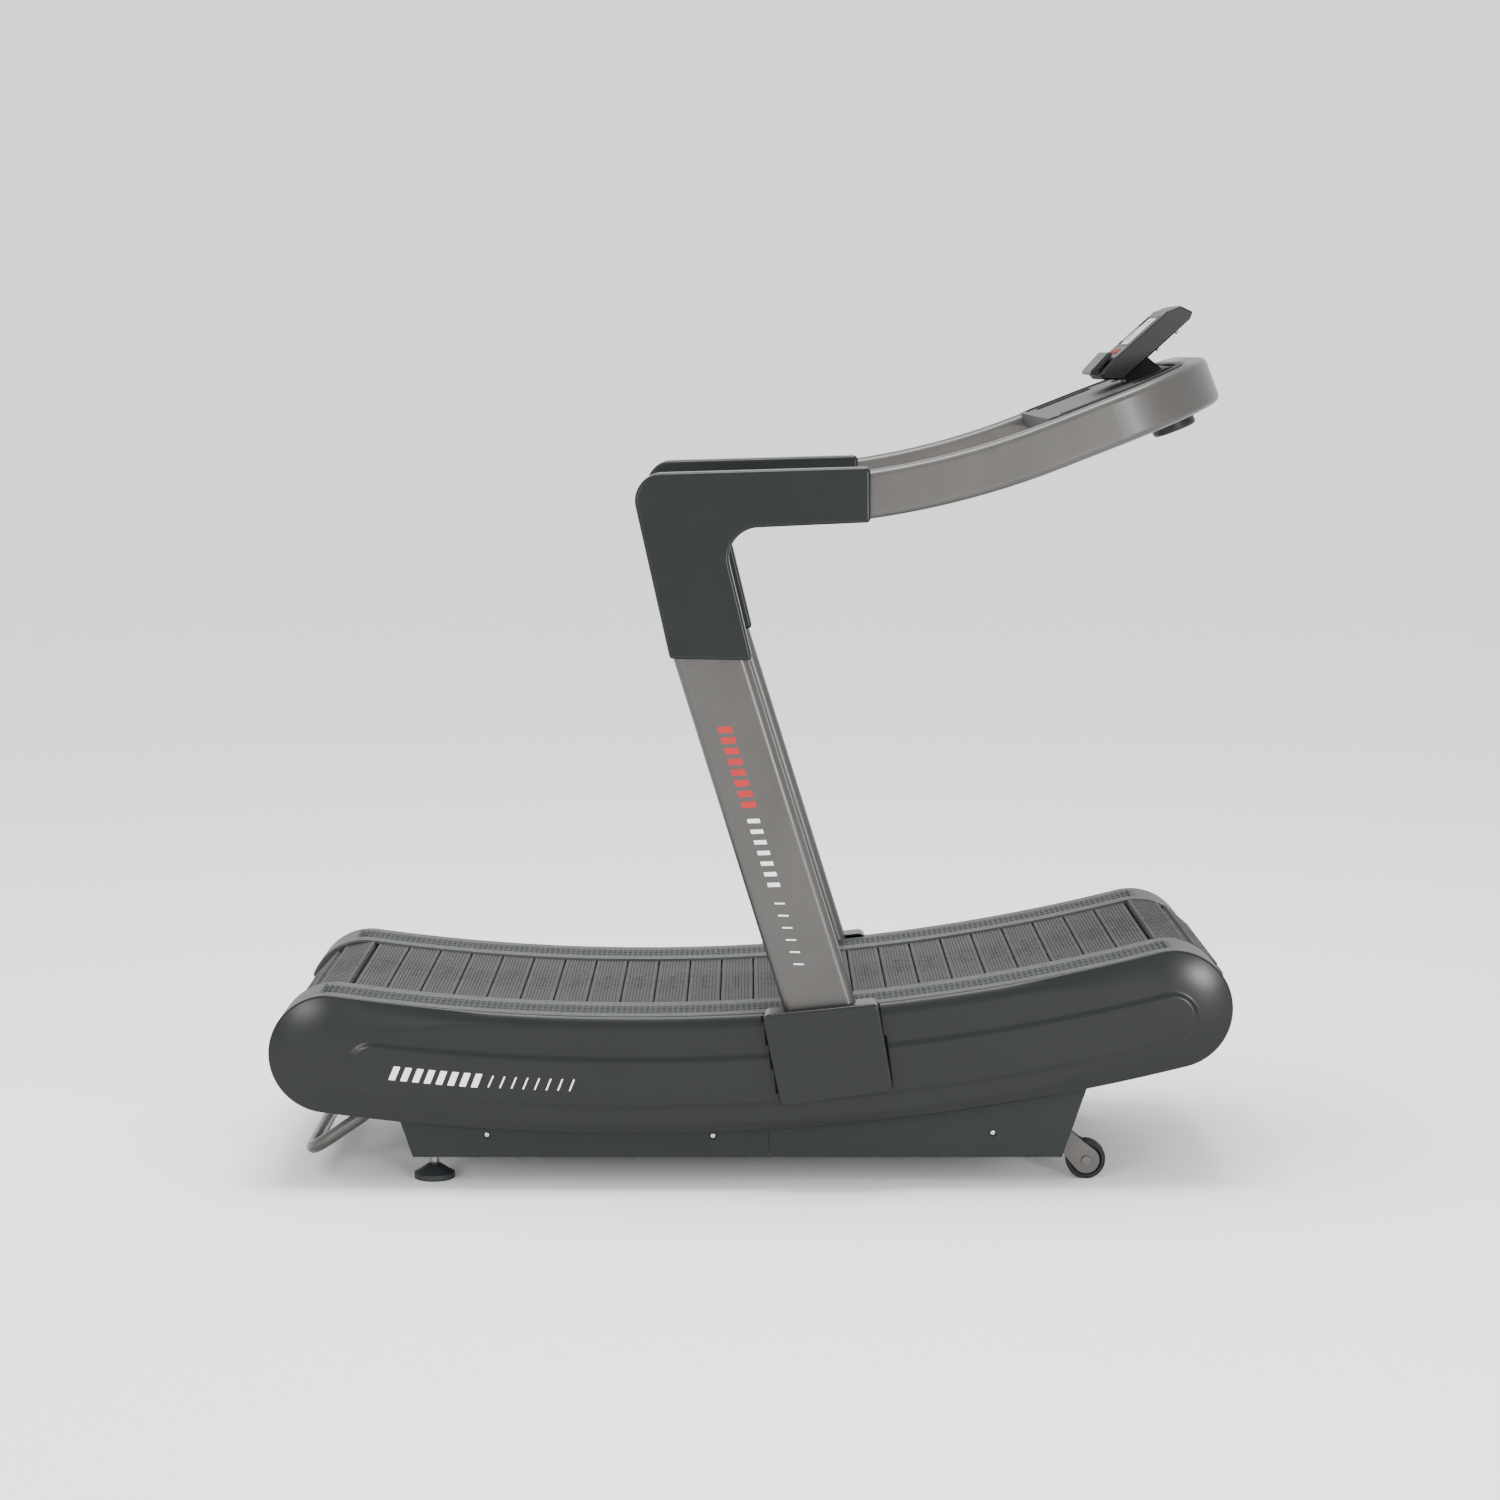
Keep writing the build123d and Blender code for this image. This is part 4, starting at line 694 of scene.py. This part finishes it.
class PaintFinishes(Operator):
    """Make the finishes and give each CAD node the one its slot names"""
    bl_idname = "treadmill.paint_finishes"
    bl_label = "Paint finishes"

    def execute(self, context):
        make_finishes(context.scene.treadmill_colours)
        for part in frame["record"]["subparts"]:
            finish = OWN_FINISH.get(part["node"], part["material_slot"])
            mesh = NODES[part["node"]].data
            for index in range(len(mesh.materials)):
                mesh.materials[index] = FINISHES[finish]
        return {"FINISHED"}


class BuildTreads(Operator):
    """Ribbed rubber treads on the slats of all four runs of the belt"""
    bl_idname = "treadmill.build_treads"
    bl_label = "Build treads"

    def execute(self, context):
        sizes = context.scene.treadmill_sizes
        for run, (body, centre, radius, start, end, count, face_out) in RUNS.items():
            block = mesh_of("tread_block", lambda bm: tread_block(bm, sizes))
            step = (end - start) / count
            mesh = along_arc(run + "_ribbed_treads", block, "tread_rubber", centre, radius,
                             start + step / 2, step, count, face_out=face_out)
            piece(run + "_ribbed_treads", mesh, "tread_rubber", body, (run + "_treads",), soft=False)
        return {"FINISHED"}


class BuildCovers(Operator):
    """Moulded side covers with soft ends and a raised panel"""
    bl_idname = "treadmill.build_covers"
    bl_label = "Build side covers"

    def execute(self, context):
        sizes = context.scene.treadmill_sizes
        for name, side in (("left", 1), ("right", -1)):
            skin = mesh_of(name + "_cover_skin", lambda bm: cover_surface(bm, sizes, side))
            shell = bpy.data.objects.new(name + "_shell", skin)
            context.scene.collection.objects.link(shell)
            modifier = shell.modifiers.new("wall", "SOLIDIFY")
            modifier.thickness, modifier.offset = COVER_WALL, -1.0
            shell_mesh = evaluated_mesh(shell, name + "_shell")
            boot = rounded(BOOT_CORNERS, 0.014, 6)
            cutter = mesh_of("boot_cutter", lambda bm: prism(bm, boot, side * 0.30, side * 0.42))
            mesh = cut_out(shell_mesh, cutter, name + "_cover")
            piece(name + "_cover", mesh, "cover_plastic", "frame", (name + "_side_cover",))
        return {"FINISHED"}


class BuildRailPattern(Operator):
    """Anti-slip chain of raised links along both foot rails"""
    bl_idname = "treadmill.build_rail_pattern"
    bl_label = "Build rail pattern"

    def execute(self, context):
        def link(bm):
            outer = rectangle(3.3 * MM, 13 * MM, 2.0 * MM, 2)
            inner = rectangle(1.2 * MM, 10 * MM, 1.0 * MM, 2)
            band(bm, outer, inner, -0.3 * MM, 0.9 * MM)

        first, last = (math.asin((x - RUN_CENTRE[0]) / RAIL_TOP_R) for x in LINK_ROWS_X)
        step = LINK_STEP / RAIL_TOP_R
        count = int((last - first) / step) + 1
        for name, side in (("left", 1), ("right", -1)):
            mesh = along_arc(name + "_rail_pattern", mesh_of("link", link), "rail_pattern", RUN_CENTRE,
                             RAIL_TOP_R, first, step, count, 2, side * LINK_FIRST_Y,
                             side * LINK_ROW_STEP)
            piece(name + "_rail_pattern", mesh, "rail_pattern", "frame",
                  soft=False)
        return {"FINISHED"}


class BuildStripes(Operator):
    """Plain slanted bars of vinyl on the uprights and the side covers"""
    bl_idname = "treadmill.build_stripes"
    bl_label = "Build stripes"

    def execute(self, context):
        def bar(length, height, slant):
            outline = [(-length / 2 - slant, -height / 2), (length / 2 - slant, -height / 2),
                       (length / 2 + slant, height / 2), (-length / 2 + slant, height / 2)]
            return rounded(outline, 0.8 * MM, 2)

        # finish, height of the first bar's middle, bars, step, length, height
        upright_bars = {"bold": ("red_vinyl", 0.859, 8, 0.0205, 0.012, 0.026),
                        "middle": ("white_vinyl", 0.692, 7, 0.0205, 0.008, 0.022),
                        "thin": ("white_vinyl", 0.540, 6, 0.0235, 0.003, 0.018)}
        # first turn and step in degrees, bars, length, height
        cover_bars = {"bold": (-6.2, 0.305, 8, 0.012, 0.026), "thin": (-3.7, 0.30, 8, 0.003, 0.022)}
        along = Vector((-math.sin(LEAN), math.cos(LEAN)))
        across = Vector((math.cos(LEAN), math.sin(LEAN)))
        for name, side in (("left", 1), ("right", -1)):
            for kind, (finish, start, count, step, length, height) in upright_bars.items():
                def bars(bm):
                    for index in range(count):
                        z = start - index * step * math.cos(LEAN)
                        x = UPRIGHT_AXIS[0] - (z - UPRIGHT_AXIS[1]) * math.tan(LEAN) - BAR_SET_BACK
                        outline = [tuple(Vector((x, z)) - along * p[0] + across * p[1])
                                   for p in bar(length, height, 0.003)]
                        prism(bm, outline, side * BAR_Y[0], side * BAR_Y[1])
                mesh = mesh_of(name + "_upright_" + kind, bars)
                piece(name + "_upright_" + kind + "_bars", mesh, finish, "frame",
                      soft=False)
            for kind, (turn, step, count, length, height) in cover_bars.items():
                block = mesh_of("bar", lambda bm: prism(
                    bm, bar(length, height, 0.004), side * (COVER_FACE_Y + 0.0035),
                    side * (COVER_FACE_Y + PANEL_LIFT + 0.0003)))
                mesh = along_arc(name + "_cover_" + kind, block, "white_vinyl", RUN_CENTRE, BAR_RADIUS,
                                 math.radians(turn), math.radians(step), count)
                piece(name + "_cover_" + kind + "_bars", mesh, "white_vinyl", "frame",
                      soft=False)
        return {"FINISHED"}


class BuildSkirtScrews(Operator):
    """Socket-head screws that hold the skirts, each on a black washer at the bottom of its hole"""
    bl_idname = "treadmill.build_skirt_screws"
    bl_label = "Build skirt screws"

    def execute(self, context):
        # (rise out of the skirt, radius) of each ring, in millimetres
        head = ((-20, 3.0), (-0.1, 3.0), (-0.1, 4.4), (1.4, 4.4), (2.1, 4.0), (2.3, 3.4), (2.3, 2.2),
                (0.8, 2.1))
        washer = ((-3.0, 10.5), (-0.4, 10.5), (-0.1, 10.2))

        def ring(bm, x, z, y, radius, count):
            return [bm.verts.new((x + radius * math.cos(math.tau * i / count), y,
                                  z + radius * math.sin(math.tau * i / count))) for i in range(count)]

        def turned(bm, profile, count):
            """One turned solid at each screw's place, on both sides."""
            for side in (1, -1):
                for x, z in SKIRT_SCREWS:
                    rings = [ring(bm, x, z, side * (SKIRT_FACE_Y + rise * MM), radius * MM, count)
                             for rise, radius in profile]
                    for low, high in zip(rings, rings[1:]):
                        for i in range(count):
                            j = (i + 1) % count
                            bm.faces.new((low[i], low[j], high[j], high[i]))
                    bm.faces.new(rings[0])
                    bm.faces.new(rings[-1])

        heads = mesh_of("heads", lambda bm: turned(bm, head, 24))
        washers = mesh_of("washers", lambda bm: turned(bm, washer, 32))
        piece("skirt_screw_heads", heads, "bright_steel", "frame", ("skirt_screws",),
              soft=False)
        piece("skirt_screw_washers", washers, "cup_plastic", "frame", soft=False)
        return {"FINISHED"}


class BuildDisplay(Operator):
    """Console display: a raised bezel, a plain oval track and a row of level bars"""
    bl_idname = "treadmill.build_display"
    bl_label = "Build display"

    def execute(self, context):
        cos, sin = math.cos(CONSOLE_LEAN), math.sin(CONSOLE_LEAN)

        def lifted(mesh, out):
            """Lays a mesh drawn in x (up the console), y and z (out of it) on the console's face."""
            place = (CONSOLE_FOOT[0] + DISPLAY_UP * cos - out * sin, 0.0,
                     CONSOLE_FOOT[1] + DISPLAY_UP * sin + out * cos)
            mesh.transform(Matrix.Translation(place) @ Matrix.Rotation(-CONSOLE_LEAN, 4, "Y"))
            return mesh

        outer, inner = rectangle(0.042, 0.083, 0.005), rectangle(0.038, 0.079, 0.003)
        bezel = mesh_of("bezel", lambda bm: band(bm, outer, inner, -0.0008, 0.0009))
        piece("display_bezel", lifted(bezel, 0.0), "console_plastic", "frame", soft=False)

        ink_height, foot = 0.0002, -0.029          # every level bar starts at the same foot

        def block(bm, low_x, high_x, low_y, high_y):
            prism(bm, [(low_x, low_y), (low_x, high_y), (high_x, high_y), (high_x, low_y)],
                  0.0, ink_height, "Z")

        def ink(bm):
            band(bm, rectangle(0.028, 0.034, 0.0279, 12), rectangle(0.0255, 0.0315, 0.0254, 12),
                 0.0, ink_height)
            for index in range(8):
                tall, across = 0.012 + 0.0045 * index, 0.004 * index
                block(bm, foot, foot + tall, 0.044 + across, 0.0465 + across)
                up = 0.0075 * index
                block(bm, foot + up, -0.0255 + up, -0.072, -0.046 - 0.001 * (index % 3))

        glass = 0.0                                # how far the screen stands out of the face
        for corner in NODES["console_screen"].data.vertices:
            away = corner.co - Vector((CONSOLE_FOOT[0], 0.0, CONSOLE_FOOT[1]))
            glass = max(glass, -away.x * sin + away.z * cos)
        piece("display_marks", lifted(mesh_of("marks", ink), glass), "display_ink", "frame",
              soft=False)
        return {"FINISHED"}


class BuildStage(Operator):
    """Pale floor, soft studio light and the camera"""
    bl_idname = "treadmill.build_stage"
    bl_label = "Build stage"

    def execute(self, context):
        scene = context.scene
        tone = tuple(scene.treadmill_colours.backdrop)
        floor_mesh = mesh_of("floor", lambda bm: bmesh.ops.create_grid(
            bm, x_segments=2, y_segments=2, size=30))
        floor = bpy.data.objects.new("floor", floor_mesh)
        scene.collection.objects.link(floor)
        floor_finish = bpy.data.materials.new("floor")
        floor_finish.use_nodes = True
        shader = floor_finish.node_tree.nodes["Principled BSDF"]
        shader.inputs["Base Color"].default_value = tone + (1.0,)
        shader.inputs["Roughness"].default_value = 1.0
        shader.inputs["Specular IOR Level"].default_value = 0.0
        floor_mesh.materials.append(floor_finish)
        world = bpy.data.worlds.new("studio")
        world.use_nodes = True
        sky = world.node_tree.nodes["Background"].inputs
        sky["Color"].default_value, sky["Strength"].default_value = (1.0, 1.0, 1.0, 1.0), 1.5
        scene.world = world
        lights = {                             # place, target, size, watts
            "front_key": ((2.9, -5.5, 1.1), (0.8, -0.3, 0.4), 0.8, 180),
            "rear_key": ((-2.7, -5.5, 1.75), (-0.8, -0.3, 0.4), 0.9, 95),
            "top": ((0.0, -0.5, 5.5), (0.0, 0.0, 0.6), 2.5, 300),
        }
        for name, (place, target, size, power) in lights.items():
            light = bpy.data.lights.new(name, "AREA")
            light.size, light.energy = size, power
            lamp = bpy.data.objects.new(name, light)
            lamp.location = place
            beam = Vector(target) - Vector(place)
            lamp.rotation_euler = beam.to_track_quat("-Z", "Y").to_euler()
            scene.collection.objects.link(lamp)
        camera_data = bpy.data.cameras.new("camera")
        camera_data.sensor_width, camera_data.lens = 36.0, 78.84
        camera = bpy.data.objects.new("camera", camera_data)
        camera.location = (-0.005, -6.285, 1.533)
        camera.rotation_euler = (math.radians(90 - 6.857), 0.0, 0.0)
        scene.collection.objects.link(camera)
        scene.camera = camera
        return {"FINISHED"}


STEPS = (PaintFinishes, BuildTreads, BuildCovers, BuildRailPattern, BuildStripes, BuildSkirtScrews,
         BuildDisplay, BuildStage)


class TreadmillPanel(Panel):
    """Buttons that build the treadmill's visible pieces"""
    bl_idname = "VIEW3D_PT_treadmill"
    bl_label = "Treadmill"
    bl_space_type = "VIEW_3D"
    bl_region_type = "UI"
    bl_category = "Treadmill"

    def draw(self, context):
        for group in (context.scene.treadmill_sizes, context.scene.treadmill_colours):
            for name in group.bl_rna.properties.keys():
                if name not in ("rna_type", "name"):
                    self.layout.prop(group, name)
        for step in STEPS:
            self.layout.operator(step.bl_idname)


CLASSES = (LooksSizes, LooksColours, *STEPS, TreadmillPanel)


def register():
    for cls in CLASSES:
        bpy.utils.register_class(cls)
    bpy.types.Scene.treadmill_sizes = PointerProperty(type=LooksSizes)
    bpy.types.Scene.treadmill_colours = PointerProperty(type=LooksColours)


def unregister():
    del bpy.types.Scene.treadmill_colours
    del bpy.types.Scene.treadmill_sizes
    for cls in reversed(CLASSES):
        bpy.utils.unregister_class(cls)


def main():
    register()
    bpy.ops.treadmill.paint_finishes()
    bpy.ops.treadmill.build_treads()
    bpy.ops.treadmill.build_covers()
    bpy.ops.treadmill.build_rail_pattern()
    bpy.ops.treadmill.build_stripes()
    bpy.ops.treadmill.build_skirt_screws()
    bpy.ops.treadmill.build_display()
    bpy.ops.treadmill.build_stage()


if __name__ == "__main__":
    main()
